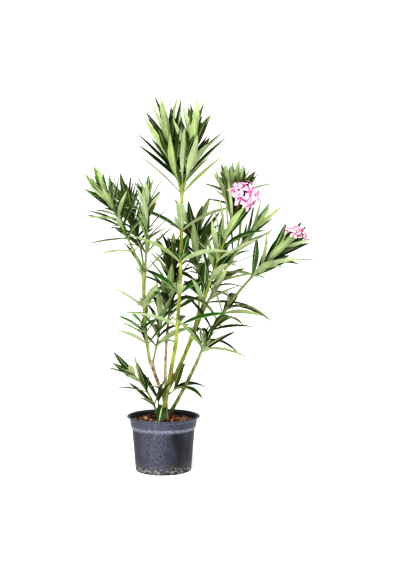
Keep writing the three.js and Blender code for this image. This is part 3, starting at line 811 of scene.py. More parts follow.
def smooth_point(limb, distance):
    """A rounder middle line: a cubic curve through the points that the rule laid out."""
    points, length = limb["points"], limb["length"]
    if distance <= 0:
        return points[0] + heading(limb, 0) * distance
    if distance >= length:
        return points[-1] + heading(limb, 1) * (distance - length)
    steps = len(points) - 1
    along = distance / length * steps
    i = min(int(along), steps - 1)
    t, span = along - i, length / steps
    start, end = heading(limb, i / steps) * span, heading(limb, (i + 1) / steps) * span
    return (points[i] * (2 * t ** 3 - 3 * t ** 2 + 1) + start * (t ** 3 - 2 * t ** 2 + t)
            + points[i + 1] * (3 * t ** 2 - 2 * t ** 3) + end * (t ** 3 - t ** 2))


def scar(distance, turn, places):
    """How far the scars of a dropped whorl stand out here, from 0 to 1."""
    height = 0
    for i, place in enumerate(places):
        near = math.exp(-((distance - place) / SCAR_REACH) ** 2)
        facing = math.cos(LEAVES_IN_WHORL * (turn + math.radians(WHORL_TURN * i)))
        height = max(height, near * (SCAR_RING + (1 - SCAR_RING) * facing))
    return height


def limb_corner(limb, distance, turn, places):
    """A corner of a limb's surface, which past the limb's tip is drawn in to a dome."""
    length = limb["length"]
    share = min(max(distance / length, 0), 1)
    radius = radius_at(limb, share)
    if distance > length:
        radius *= math.sqrt(max(0.0, 1 - ((distance - length) / limb["dome"]) ** 2))
    along = heading(limb, share)
    across = unit(np.cross((0, 1, 0), along))
    other = np.cross(across, along)
    out = radius + SCAR_HEIGHT * scar(distance, turn, places) * min(radius / SCAR_LIMB, 1)
    return smooth_point(limb, distance) + (across * math.sin(turn) + other * math.cos(turn)) * out


def roll_up(name, limb):
    limb["dome"] = radius_at(limb, 1) * DOME
    bottom, top = -SINK, limb["length"] + limb["dome"]
    rows = round((top - bottom) / ROW_STEP)
    deselect()
    bpy.ops.mesh.primitive_grid_add(x_subdivisions=COLUMNS, y_subdivisions=rows, size=1)
    piece = bpy.context.object
    piece.name = f"{name}_wood"
    places = np.arange(SCAR_GAP, limb["length"] - SCAR_MARGIN, SCAR_GAP)
    laid = {}  # the first and last column share their corners, so that they merge
    for corner in piece.data.vertices:
        distance = lerp(bottom, top, corner.co.y + 0.5)
        turn = round((corner.co.x + 0.5) * COLUMNS) % COLUMNS * 2 * math.pi / COLUMNS
        key = (round(distance, 3), round(turn, 4))
        if key not in laid:
            laid[key] = limb_corner(limb, distance, turn, places)
        corner.co = laid[key] * MM
    close_up(piece)
    return piece


# %% Bark and green rind
BARK_PATCH, BARK_DRAWN = 9, (1, 1, 0.35)  # the size of a pattern, and how it is drawn out upwards
BARK_GRAIN = (2.2, 0.5, (1, 1, 0.3))
RIND_PATCH, RIND_DRAWN = 11, (1, 1, 0.3)
RIND_GRAIN = (1.5, 0.12, (1, 1, 0.2))


def tan_bark():
    """Thin cork over old wood: it reads as dry, matt tan, streaked and cracked along the limb."""
    material, shader = new_finish("thin tan bark", "#8a745e", 0.85)
    mottled(material, shader, grain(material, BARK_PATCH, BARK_DRAWN, detail=8),
            ["#54432f", "#88705a", "#a9927b", "#80845a"])
    roughen(material, shader, *BARK_GRAIN)


def green_rind(name, colours):
    """The smooth living rind of a young stem: it reads as a satin green with long faint streaks."""
    material, shader = new_finish(name, colours[1], 0.42, IOR=1.45)
    mottled(material, shader, grain(material, RIND_PATCH, RIND_DRAWN, detail=5), colours)
    roughen(material, shader, *RIND_GRAIN)


tan_bark()
green_rind("older yellow-green rind", ["#565b1b", "#74792b", "#90963f"])
green_rind("ripening yellow-green rind", ["#5f661d", "#808832", "#9ba34b"])
green_rind("olive green rind", ["#424e26", "#66723e", "#828c59"])
green_rind("young green rind", ["#5a6a30", "#7a8c46", "#97a861"])

WOOD_FINISH = {
    "trunk": "thin tan bark", "left_bough": "thin tan bark", "centre_bough": "thin tan bark",
    "leader_bough": "older yellow-green rind", "right_bough": "older yellow-green rind",
    "far_bough": "olive green rind",
}
WOOD_RELIEF = (  # kind and size of the marks, and how high they are on bark and on rind
    ("cracks", "CLOUDS", 5, 1.3, 0.25),
    ("corky_spots", "VORONOI", 3, 0.5, 0.1),
)
WOOD_EDGE = 60

for name, limb in BOUGHS.items():
    wood = roll_up(name, limb)
    woody = WOOD_FINISH[name] == "thin tan bark"
    for relief, kind, size, on_bark, on_rind in WOOD_RELIEF:
        press(wood, relief, kind, size, on_bark if woody else on_rind)
    apply_modifiers(wood)
    shade(WOOD_EDGE)
    wood.data.materials.append(bpy.data.materials[WOOD_FINISH[name]])
    hand_in(wood, "bark" if woody else "green_stem", name)

# %% [markdown]
# ## Green stems of the leafy masses
#
# The stems of the leafy masses are thin, and there are dozens of them with their twigs, so each
# mass gathers its tubes in a heap. A stem swells a little where a whorl of leaves stands on it.

# %% Tubes for stems, twigs and stalks
TUBE_SIDES = 10
TUBE_STEP = 4
STEM_SINK = 4
STEM_RINGS = 4  # the fewest rings of corners that a stem has
STEM_TIP = 0.35  # the share of its radius that a stem keeps at its last ring
JOINT_REACH = 3.2  # how far along the stem the swelling at a whorl fades
JOINT_SWELL = 0.22  # and by what share of its radius the stem swells there


def tube(heap, points, radii, finish):
    """A closed tube through points, with a radius at each."""
    points = np.asarray(points, float)
    runs = np.gradient(points, axis=0)
    corners = []
    for point, run, radius in zip(points, runs, radii):
        along = unit(run)
        across = unit(np.cross((0, 1, 0), along))
        other = np.cross(across, along)
        for k in range(TUBE_SIDES):
            turn = 2 * math.pi * k / TUBE_SIDES
            corners.append(point + (across * math.sin(turn) + other * math.cos(turn)) * radius)
    faces = [tuple(reversed(range(TUBE_SIDES)))]
    for row in range(len(points) - 1):
        for k in range(TUBE_SIDES):
            a, b = row * TUBE_SIDES + k, row * TUBE_SIDES + (k + 1) % TUBE_SIDES
            faces.append((a, b, b + TUBE_SIDES, a + TUBE_SIDES))
    last = (len(points) - 1) * TUBE_SIDES
    faces.append(tuple(range(last, last + TUBE_SIDES)))
    heap.add(corners, faces, [finish] * len(faces))


def whorl_places(shoot):
    """The distances at which a shoot's whorls stand."""
    rule, distance, places = shoot.get("leaves"), 0, []
    if rule:
        distance = rule["first"]
        for whorl in range(rule["whorls"]):
            if distance <= shoot["length"]:
                places.append(distance)
            distance += rule["gap"] * rule["shrink"] ** whorl
    return places


def stem(heap, shoot, finish, sink=STEM_SINK):
    """The tube of a leafy shoot, swollen at its whorls and drawn in at its tip."""
    length, places = shoot["length"], whorl_places(shoot)
    rings = max(STEM_RINGS, round((length + sink) / TUBE_STEP))
    distances = np.linspace(-sink, length, rings)
    radii = []
    for distance in distances:
        share = min(max(distance / length, 0), 1)
        swell = sum(math.exp(-((distance - place - 1) / JOINT_REACH) ** 2) for place in places)
        radii.append(radius_at(shoot, share) * (1 + JOINT_SWELL * min(swell, 1)))
    radii[-1] *= STEM_TIP
    tube(heap, [smooth_point(shoot, d) for d in distances], radii, finish)

# %% [markdown]
# ## Leaves
#
# An oleander leaf is a stiff, narrow lance, dark and smooth above, paler beneath, with one
# strong pale midrib. It could be a flat card with a picture on it, but a picture needs an image
# file and looks flat from the side. Here it is a thin closed blade: its own outline, two halves
# that rise from the midrib in a shallow V, a slight twist and wave, and a rib of its own. Upper
# side, underside and midrib have finishes of their own, and a slow drift through the plant makes
# each a little brighter here and darker there. Their tints are dealt out by stem: the old low
# leaves are dark, and the young tops are bright. The darkest tint, shade, is painted shade for
# the leaves that lie deep inside the plant.

# %% Leaf finishes
# the colours of the shade tint are painted shade: a dark upper side, underside and midrib
UPPER = {"shade": "#18290a", "old": "#233f13", "mature": "#2f531b", "fresh": "#3a6420",
         "spring": "#467323"}
UNDER = {"shade": "#3a4920", "old": "#8a9a6b", "mature": "#a4b287", "fresh": "#98aa72",
         "spring": "#829952"}
RIB = {"shade": "#8a965e", "old": "#a9b680", "mature": "#bcc890", "fresh": "#c6d497",
       "spring": "#cedd94"}


SKIN_DRIFT = 45  # millimetres between brighter and darker places in the crown
DRIFT_EDGE = (0.3, 0.7)  # the values of the drift at which a skin is darkest and brightest
DARKEST, BRIGHTEST = 0.8, 1.2


def living_skin(name, colour, roughness, gloss, size):
    """The skin of a leaf or petal: no two places on the plant have quite the same colour."""
    material, shader = new_finish(name, colour, roughness, Specular_IOR_Level=gloss)
    bright = add_node(material, "ShaderNodeMapRange", {
        "Value": grain(material, size), "From Min": DRIFT_EDGE[0], "From Max": DRIFT_EDGE[1],
        "To Min": DARKEST, "To Max": BRIGHTEST})
    toned = add_node(material, "ShaderNodeVectorMath", {
        0: linear(colour)[:3], "Scale": bright.outputs["Result"]}, operation="SCALE")
    material.node_tree.links.new(toned.outputs["Vector"], shader.inputs["Base Color"])


for tint in TINTS:
    living_skin(f"{tint} leaf, upper side", UPPER[tint], 0.42, 0.25, SKIN_DRIFT)  # waxed: a soft sheen
    living_skin(f"{tint} leaf, underside", UNDER[tint], 0.6, 0.1, SKIN_DRIFT)  # dull and felted
    living_skin(f"{tint} leaf, midrib", RIB[tint], 0.45, 0.25, SKIN_DRIFT)  # smooth, as a rind

# %% The blade of one leaf
LEAF_TURN = 360 / LEAVES_IN_WHORL
LUCK = dict(turn=10, open=8, sag=0.12, length=0.1, roll=30,  # how far chance moves each habit
            tint=0.8, fold=9, twist=14, wave=0.03, phase=3, sway=0.16)
FOLD = 26  # degrees that each half of a blade rises from the midrib
LEAF_ROWS = 11
LEAF_HALVES = (-1, -0.52, -0.095, 0.095, 0.52, 1)  # corners across the upper side
LEAF_BACKS = (0.52, 0.095, -0.095, -0.52)  # and back across the underside
BLADE_THICK = 0.55
RIB_THICK = 1.3
STALK_HALF = 1.5
STALK_SHARE = 1 / 9  # the share of a leaf's length that is stalk
STALK_SWELL = 1.2  # how much thicker than the blade the stalk is at its foot
TIP_THIN = 0.6  # the share of its thickness that a blade loses towards its tip
WAVES = 7  # radians of its wave that a blade runs through
SWAY_MIDDLE = 0.4  # where along a blade its sideways sway turns round
WIDEST = 0.9  # below 1, a blade is widest before its middle
FULL = 0.85  # below 1, its outline is fuller than a sine


def fullness(share):
    """The share of its full width that a blade has after a share of its length."""
    return max(math.sin(math.pi * share ** WIDEST), 0) ** FULL


def pointing(leaf, share):
    return unit(leaf["run"] + np.array((0, 0, -leaf["sag"] * share)))


def blade(leaf):
    """Corners and faces of a leaf, laid along its sagging middle line."""
    point, corners = leaf["root"], []
    for k in range(LEAF_ROWS):
        share = k / LEAF_ROWS
        along = pointing(leaf, share)
        flat = square(leaf["side"], along)
        roll = math.radians(-leaf["roll"] - leaf["twist"] * share)
        flat = flat * math.cos(roll) + np.cross(along, flat) * math.sin(roll)
        under = np.cross(flat, along)
        half = max(fullness(share) * leaf["width"] / 2, STALK_HALF * leaf["scale"])
        fold = math.tan(math.radians(leaf["fold"])) * half
        wave = leaf["wave"] * math.sin(WAVES * share + leaf["phase"])
        stalk = max(0, 1 - share / STALK_SHARE)
        for across in LEAF_HALVES:
            rise = fold * abs(across) + wave * across
            corners.append(point + flat * half * across - under * rise)
        for across in LEAF_BACKS:
            rib = abs(across) < 0.1
            thick = (RIB_THICK if rib else BLADE_THICK) * leaf["scale"] * (1 + STALK_SWELL * stalk)
            thick *= 1 - TIP_THIN * share
            rise = fold * abs(across) + wave * across - thick
            corners.append(point + flat * half * across - under * rise)
        step = pointing(leaf, (k + 0.5) / LEAF_ROWS) + flat * leaf["sway"] * (share - SWAY_MIDDLE)
        point = point + unit(step) * leaf["length"] / LEAF_ROWS
    corners.append(point)
    ring = len(LEAF_HALVES) + len(LEAF_BACKS)
    sides = ("upper side", "upper side", "midrib", "upper side", "upper side",
             "underside", "underside", "midrib", "underside", "underside")
    faces, kinds = [tuple(range(ring))], ["underside"]
    for row in range(LEAF_ROWS):
        for k in range(ring):
            a, b = row * ring + k, row * ring + (k + 1) % ring
            if row < LEAF_ROWS - 1:
                faces.append((a, a + ring, b + ring, b))
            else:
                faces.append((a, len(corners) - 1, b))
            kinds.append(sides[k])
    return corners, faces, [f"{leaf['tint']} leaf, {kind}" for kind in kinds]


def lay(root, axis, turn, rule):
    """A leaf whose root is on an axis and which opens away from it at a bearing."""
    outward = square(bearing(turn), axis)
    opening = math.radians(rule["open"])
    run = axis * math.cos(opening) + outward * math.sin(opening)
    return dict(rule, root=root, run=run, side=np.cross(axis, outward))


def tint_at(value):
    return TINTS[min(max(round(value), 0), len(TINTS) - 1)]

# %% [markdown]
# ## Which leaves found room
#
# Where a leaf of the plain model would have run through a neighbour, it was turned a little on
# its stem or left out. The tip of a leaf is a corner of the plain node, so a fine leaf looks for
# its tip among the node's corners: it takes the turn at which the tip is there, and is left out
# if no turn fits.

# %% Follow the rule, and find each leaf's tip in the plain node
SIDE_STEPS = (0, 12, -12, 24, -24, 36, -36)
PLAIN_STEPS = 4
TIP_REACH = 0.05


def corners_of(name):
    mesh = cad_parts[name].data
    tree = kdtree.KDTree(len(mesh.vertices))
    for i, corner in enumerate(mesh.vertices):
        tree.insert(corner.co, i)
    tree.balance()
    return tree


def plain_tip(leaf):
    steps = [pointing(leaf, (k + 0.5) / PLAIN_STEPS) for k in range(PLAIN_STEPS)]
    return leaf["root"] + sum(steps) * leaf["length"] / PLAIN_STEPS


def habits(luck, width):
    """What makes each fine leaf a little different from the next."""
    return dict(fold=FOLD + LUCK["fold"] * luck(6), twist=LUCK["twist"] * luck(7),
                wave=LUCK["wave"] * width * luck(8), phase=LUCK["phase"] * luck(9),
                sway=LUCK["sway"] * luck(10))


def shape_at(rule, age, luck, share, brighter, scale=1, droop=0):
    """A leaf's measures by its rule at an age from 0 to 1, where share is of the size at that age."""
    length = lerp(*rule["size"], age) * share
    width = rule["width"] * math.sqrt(length / max(rule["size"]))
    return dict(
        length=length, width=width, roll=LUCK["roll"] * luck(5), scale=scale,
        open=lerp(*rule["open"], age) + LUCK["open"] * luck(2),
        sag=lerp(*rule["sag"], age) + droop * (1 - age) + LUCK["sag"] * luck(3),
        tint=tint_at(lerp(*rule["tint"], age) + brighter), **habits(luck, width))


def within(distance, stretch):
    return stretch is not None and stretch[0] < distance < stretch[1]


def leaves_of(shoot, corners):
    """The leaves of a shoot that found room, oldest whorl first, apart from a stretch gone bare."""
    rule = shoot["leaves"]
    kept = []
    for whorl, distance in enumerate(whorl_places(shoot)):
        if within(distance, rule.get("bare")):
            continue
        age = whorl / max(rule["whorls"] - 1, 1)
        root, axis = point_on(shoot, distance), heading(shoot, distance / shoot["length"])
        for i in range(min(rule.get("left", LEAVES_IN_WHORL), LEAVES_IN_WHORL)):
            luck = partial(chance, rule["seed"], whorl + 1, i + 1)
            shape = shape_at(
                rule, age, luck, 1 + LUCK["length"] * luck(4), LUCK["tint"] * luck(11))
            turn = rule["turn"] + WHORL_TURN * whorl + LEAF_TURN * i + LUCK["turn"] * luck(1)
            for side_step in SIDE_STEPS:
                leaf = lay(root, axis, turn + side_step, shape)
                tip = Vector(plain_tip(leaf) * MM)
                if corners.find(tip)[2] < TIP_REACH * MM:
                    kept.append(leaf)
                    break
    return kept

# %% [markdown]
# ## The leaves between
#
# The plain model has fewer whorls than a real shoot. Smaller leaves fill the stretches between
# them, by the same rule. They shade each other, so their tint is a step darker. None may run
# through a bough, so each of them tries a few turns, and is left out if its middle line still
# meets wood or runs within half a leaf's width of it.

# %% Fill in between the whorls
BETWEEN_SIZE = 0.84
BETWEEN_SHADE = 0.9
BETWEEN_LUCK = dict(length=0.13, tint=0.9)
BETWEEN_SCALE = 0.85
BETWEEN_SEED = 51  # keeps their luck apart from that of the whorls
TIP_MARGIN = 4
CLOSEST_WHORLS = 9
OPEN_REACH = 62  # degrees either side of the bearing that a shoot keeps open


def wood_tree():
    """A search tree over the faces of every bough and the trunk."""
    corners, faces = [], []
    for name in BOUGHS:
        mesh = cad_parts[name].data
        faces.extend([[len(corners) + i for i in face.vertices] for face in mesh.polygons])
        corners.extend([corner.co.copy() for corner in mesh.vertices])
    return BVHTree.FromPolygons(corners, faces)


WOOD = wood_tree()


def misses_wood(leaf):
    point = leaf["root"]
    for k in range(PLAIN_STEPS):
        run = pointing(leaf, (k + 0.5) / PLAIN_STEPS) * leaf["length"] / PLAIN_STEPS
        place = Vector(point * MM)
        if k and WOOD.ray_cast(place, Vector(run).normalized(), np.linalg.norm(run) * MM)[0]:
            return False
        if k and WOOD.find_nearest(place, leaf["width"] / 2 * MM)[0]:
            return False
        point = point + run
    return True


def between_places(shoot):
    """Distances between a shoot's whorls, and between the last one and the tip."""
    places = whorl_places(shoot)
    stretches = list(zip(places, places[1:])) + [(places[-1], shoot["length"] - TIP_MARGIN)]
    return [lerp(start, end, 0.5) for start, end in stretches if end - start > CLOSEST_WHORLS]


def fill_between(shoot, heap):
    rule = shoot["leaves"]
    for whorl, distance in enumerate(between_places(shoot)):
        if within(distance, rule.get("bare")) or within(distance, rule.get("sparse")):
            continue
        age = (whorl + 0.5) / max(rule["whorls"] - 1, 1)
        root, axis = point_on(shoot, distance), heading(shoot, distance / shoot["length"])
        for i in range(LEAVES_IN_WHORL):
            luck = partial(chance, rule["seed"], whorl + BETWEEN_SEED, i + 1)
            shape = shape_at(
                rule, age, luck, BETWEEN_SIZE + BETWEEN_LUCK["length"] * luck(4),
                BETWEEN_LUCK["tint"] * luck(11) - rule.get("shade", BETWEEN_SHADE),
                BETWEEN_SCALE, rule.get("droop", 0))
            turn = rule["turn"] + WHORL_TURN * (whorl + 0.5) + LEAF_TURN * i + LUCK["turn"] * luck(1)
            if abs((turn - rule.get("clear", turn + 180) + 180) % 360 - 180) < OPEN_REACH:
                continue
            for side_step in SIDE_STEPS:
                leaf = lay(root, axis, turn + side_step, shape)
                if misses_wood(leaf):
                    heap.add(*blade(leaf))
                    break

# %% [markdown]
# ## Young leaves at the tips, and side sprouts
#
# A growing tip ends in a tuft of small, upright, bright leaves that stand close round the bud.
# Strong stems also put out short sprouts above their leaves, and a few of these have had a year
# to grow larger, darker leaves. Both follow the same rule at a smaller size.

# %% Tufts and sprouts
TUFT = ((0.62, -16, 0.8), (0.5, -9, 0.6), (0.36, -4, 0.42), (0.2, -1, 0.2))  # size, place, opening
TUFT_PLACED_FOR = 90  # the size of leaf for which those places are given
TUFT_LEAF = dict(length=0.12, roll=12, open=4, tint=0.5, turn=12, slender=0.17, sag=0.05)
TUFT_SEED = 21
SPROUT_LENGTH, SPROUT_LUCK = 16, 6
SPROUT_LEAN = 0.75  # how far a sprout leans out from its stem
SPROUT_CURL = 0.3  # the share of its tilt that it loses again
SPROUT_RADIUS = (1.5, 1.1)
SPROUT = ((0.55, 46, 44, 2), (0.77, 34, 31, 3), (0.99, 20, 18, 3))  # place, size, opening, leaves
SPROUT_LEAF = dict(length=0.2, roll=20, open=6, tint=0.6, turn=15, slender=0.19, sag=0.15)
SPROUT_SEED = 31
SMALL_SCALE = 0.6  # how thin the stalk and rib of a small leaf are


def small_leaf(kind, root, axis, luck, length, opening, tint, turn):
    """One leaf of a tuft or sprout, moved by chance as far as its kind says."""
    length = length * (1 + kind["length"] * luck(4))
    width = kind["slender"] * length
    shape = dict(length=length, width=width, roll=kind["roll"] * luck(5), scale=SMALL_SCALE,
                 open=opening + kind["open"] * luck(2), sag=kind["sag"],
                 tint=tint_at(tint + kind["tint"] * luck(11)), **habits(luck, width))
    return blade(lay(root, axis, turn + kind["turn"] * luck(1), shape))


def tuft(shoot, heap, size, opening, seed, tint):
    """Whorls of ever smaller leaves round the bud at a shoot's tip."""
    axis = heading(shoot, 1)
    for whorl, (share, back, open_share) in enumerate(TUFT):
        root = smooth_point(shoot, shoot["length"] + back * size / TUFT_PLACED_FOR)
        for i in range(LEAVES_IN_WHORL):
            luck = partial(chance, seed, whorl + TUFT_SEED, i + 1)
            turn = seed + WHORL_TURN * whorl + LEAF_TURN * i
            heap.add(*small_leaf(
                TUFT_LEAF, root, axis, luck, size * share, opening * open_share, tint, turn))


def sprout(parent, distance, turn, seed, stems, leaves, tint, size):
    """A short side shoot above a whorl, with a few small leaves."""
    axis = heading(parent, distance / parent["length"])
    start = unit(axis + square(bearing(turn), axis) * SPROUT_LEAN)
    tilt = math.degrees(math.acos(start[2]))
    toward = math.degrees(math.atan2(start[1], start[0]))
    shoot = dict(length=(SPROUT_LENGTH + SPROUT_LUCK * chance(seed, 3, 3, 3)) * size, lean=tilt,
                 toward=toward, curl=-tilt * SPROUT_CURL, radius=SPROUT_RADIUS)
    grow(shoot, point_on(parent, distance))
    stem(stems, shoot, "young green rind", sink=0)
    for whorl, (share, longest, opening, count) in enumerate(SPROUT):
        root = smooth_point(shoot, shoot["length"] * share)
        for i in range(count):
            luck = partial(chance, seed, whorl + SPROUT_SEED, i + 1)
            leaves.add(*small_leaf(SPROUT_LEAF, root, heading(shoot, 1), luck, longest * size,
                                   opening, tint, turn + WHORL_TURN * whorl + LEAF_TURN * i))

# %% [markdown]
# ## Flowers
#
# A single oleander flower is a narrow funnel that opens into five petals. Each petal is
# lopsided, like the blade of a propeller, and overlaps the next. The throat is deep rose, with a
# ragged fringe, and it sits in a small calyx of five red-brown points. One petal is shaped from
# a grid, given its thickness and turned into five. One flower is then finished and copied to
# every stalk of a truss, with younger, half-open ones between and buds below them. The petals
# fade from throat to edge in three tints.

# %% Petal and calyx finishes
PETAL_TINTS = ("petal base", "petal middle", "petal edge")
PETAL_DRIFT = 12
FLOWER_SKINS = (  # thin and velvety, so they read as soft colour with hardly any shine
    ("petal edge", "#eebbd3", 0.6), ("petal middle", "#e7a1c1", 0.6),
    ("petal base", "#de85ad", 0.6), ("throat", "#b23a6b", 0.5), ("fringe", "#e39abb", 0.55),
    ("flower bud", "#d3567f", 0.5), ("calyx", "#7c3a2a", 0.55),
)
for name, colour, roughness in FLOWER_SKINS:
    living_skin(name, colour, roughness, 0.3, PETAL_DRIFT)
green_rind("red-brown flower stalk", ["#6d3a26", "#8a5534", "#8d8a45"])

# %% Shape one flower
PETALS = 5
PETAL_ROWS, PETAL_COLUMNS = 8, 6
PETAL_RADIUS = 23.5
THROAT_RADIUS = 3.4
PETAL_HALF = 6.2
FUNNEL_LENGTH = 17
PETAL_FOOT, PETAL_SWELL = 0.26, 0.86  # shares of the half width: at the throat, and added outwards
PETAL_TURN_IN = 0.55  # the share of its length at which a petal starts to round off
PETAL_TIP = 0.86  # how much of its width is rounded off
PETAL_SHIFT, PETAL_SKEW = 2.2, 1.6  # how lopsided a petal is, across and along
PETAL_THICK = 0.45
TINT_BANDS = 3.4  # a little over the three tints, so that the edge's is the widest
FUNNEL = (  # distance from the axis, height and radius of each ring
    (0, -17, 1.0), (0, -14, 1.2), (0, -9, 1.5), (0, -5, 2.4), (0, -2, 3.5), (0, -0.4, 4.0))
CALYX = ((1.1, -17.4, 0.9), (2.3, -15, 1.0), (2.1, -10.5, 0.15))
CALYX_TURN = 0.35  # of the turn from one petal to the next
FRINGE = ((3.3, -1.2, 0.75), (3.6, 1.2, 0.6), (4.3, 3.4, 0.12))
FRINGE_TURNS = (-0.32, 0, 0.32)
FUNNEL_EDGE, FLOWER_EDGE = 50, 55


def petal_place(across, share):
    """A corner of the petal that points along +X: across from -1 to 1, share from throat to edge."""
    reach = lerp(THROAT_RADIUS, PETAL_RADIUS, share)
    half = PETAL_HALF * (PETAL_FOOT + PETAL_SWELL * math.sin(math.pi * 0.5 * share) ** 1.3)
    past = max(0, (share - PETAL_TURN_IN) / (1 - PETAL_TURN_IN))
    rounding = math.sqrt(max(0.0, 1 - PETAL_TIP * past ** 2.4))
    x = reach - 2.6 * share * across ** 2 + PETAL_SKEW * share * across
    y = half * rounding * across + PETAL_SHIFT * share ** 2
    arch = -1.6 + 3.4 * share ** 0.7 - 2.6 * share ** 2  # up out of the throat and down again
    z = arch + 0.9 * share * across + 0.5 * math.sin(6 * share)  # one edge up, and a wave
    return Vector((x, y, z)) * MM


def ring_tube(heap, turn, rings, finish):
    """A tube whose rings stand at a bearing from the flower's axis."""
    out = np.array((math.cos(turn), math.sin(turn), 0))
    tube(heap, [out * reach + (0, 0, height) for reach, height, _ in rings],
         [radius for _, _, radius in rings], finish)


def shape_flower():
    deselect()
    bpy.ops.mesh.primitive_grid_add(x_subdivisions=PETAL_ROWS, y_subdivisions=PETAL_COLUMNS, size=1)
    petal = bpy.context.object
    rows = []
    for face in petal.data.polygons:
        rows.append(min(int((face.center.x + 0.5) * TINT_BANDS), len(PETAL_TINTS) - 1))
    for corner in petal.data.vertices:
        corner.co = petal_place(corner.co.y * 2, corner.co.x + 0.5)
    for tint in PETAL_TINTS:
        petal.data.materials.append(bpy.data.materials[tint])
    petal.data.polygons.foreach_set("material_index", rows)
    wall = petal.modifiers.new("thickness", "SOLIDIFY")
    wall.thickness = PETAL_THICK * MM
    apply_modifiers(petal)
    parts = [petal]
    for i in range(1, PETALS):
        copy = petal.copy()
        copy.data = petal.data.copy()
        copy.data.transform(Matrix.Rotation(2 * math.pi * i / PETALS, 4, "Z"))
        bpy.context.collection.objects.link(copy)
        parts.append(copy)
    small = Heap()
    ring_tube(small, 0, FUNNEL, "throat")
    for i in range(PETALS):
        turn = 2 * math.pi * (i + CALYX_TURN) / PETALS
        ring_tube(small, turn, CALYX, "calyx")
        for lean in FRINGE_TURNS:
            ring_tube(small, turn + lean, FRINGE, "fringe")
    parts.append(small.piece("funnel", FUNNEL_EDGE))
    deselect()
    for part in parts:
        part.select_set(True)
    bpy.context.view_layer.objects.active = petal
    bpy.ops.object.join()
    flower = bpy.context.object
    flower.name = "one_flower"
    shade(FLOWER_EDGE)
    print("one flower:", len(flower.data.polygons), "faces")
    return flower


flower = shape_flower()


# %% Set the flowers and buds of a truss
GOLDEN_TURN = 137.5
HALF_OPEN = 0.72  # the size of a younger flower
FLOWER_TURNS = (0.9, 0.7)  # radians from one open and one half-open flower to the next
STALK_RADII = (1.3, 0.95, 1.25)
STALK_DROOP = 1.5
BUDS = 4
BUD_LEAN = 0.55  # how far a bud leans away from the nearest flower
BUD_REACH = 0.55  # its stalk, as a share of the flower's
BUD_STALK_RADII = (1.1, 0.8, 1.1)
BUD = ((-1, 1.1), (1.5, 1.9), (5, 1.7), (10, 2.3), (15, 1.4), (18, 0.2))  # height, radius
BUD_EDGE = 50
UP = Vector((0, 0, 1))


def truss_places(truss):
    """The hub of a truss, and the way each stalk points and how long it is."""
    lean = UP.rotation_difference(Vector(heading(truss, 1)))
    places = []
    for i in range(truss["flowers"]):
        turn = math.radians(GOLDEN_TURN * i + truss["seed"])
        opening = math.radians(truss["spread"] * math.sqrt((i + 0.5) / truss["flowers"]))
        facing = Vector((math.cos(turn) * math.sin(opening), math.sin(turn) * math.sin(opening),
                         math.cos(opening)))
        facing.rotate(lean)
        places.append((facing, lerp(*truss["stalks"], (i % 3) / 2)))
    return truss["points"][-1], places


def set_flower(hub, facing, stalk, size, turned, stems):
    """A copy of the flower on a stalk of its own."""
    copy = flower.copy()
    copy.data = flower.data.copy()
    turn = UP.rotation_difference(facing).to_matrix().to_4x4()
    spin = Matrix.Rotation(turned, 4, "Z") @ Matrix.Scale(size, 4)
    centre = Vector(hub) + facing * stalk
    copy.data.transform(Matrix.Translation(centre * MM) @ turn @ spin)
    bpy.context.collection.objects.link(copy)
    foot = np.array(centre - facing * FUNNEL_LENGTH * size)
    middle = (np.array(hub) + foot) / 2 - (0, 0, STALK_DROOP)
    tube(stems, [hub, middle, foot], STALK_RADII, "red-brown flower stalk")
    return copy


def set_truss(name, truss, stems):
    """The flowers by the rule, younger ones half open between them, and buds."""
    hub, places = truss_places(truss)
    copies = []
    for i, (facing, stalk) in enumerate(places):
        copies.append(set_flower(hub, facing, stalk, truss["opened"], i * FLOWER_TURNS[0], stems))
        beside, other = places[(i + 3) % len(places)]  # by the golden turn, a near neighbour
        between = (facing + beside).normalized()
        copies.append(set_flower(hub, between, (stalk + other) / 2, truss["opened"] * HALF_OPEN,
                                 i * FLOWER_TURNS[1], stems))
    buds = Heap()
    for i in range(BUDS):
        facing, stalk = places[i * 2 % len(places)]
        sideways = facing.cross(Vector((0.3, 1, 0.2))).normalized() * BUD_LEAN
        aim = np.array((facing + sideways * (1 if i % 2 else -1)).normalized())
        points = [np.array(hub) + aim * stalk * BUD_REACH * share for share in (0, 0.5, 1)]
        tube(stems, points, BUD_STALK_RADII, "red-brown flower stalk")
        tube(buds, [points[-1] + aim * height for height, _ in BUD],
             [radius for _, radius in BUD], "flower bud")
    copies.append(buds.piece("buds", BUD_EDGE))
    deselect()
    for copy in copies:
        copy.select_set(True)
    bpy.context.view_layer.objects.active = copies[0]
    bpy.ops.object.join()
    made = bpy.context.object
    made.name = f"{name}_flowers"
    hand_in(made, "foliage")

# %% [markdown]
# ## The masses
#
# Each mass is now grown: its stem and twigs in one piece, its leaves in another, and its
# flowers, where it has any, in a third. A stem ripens from green to yellow or olive with age, so
# the finish of each older stem is told here, and all others keep their young green rind. Some
# tips are bare and some masses stay open, and the strong sprouts have places of their own.

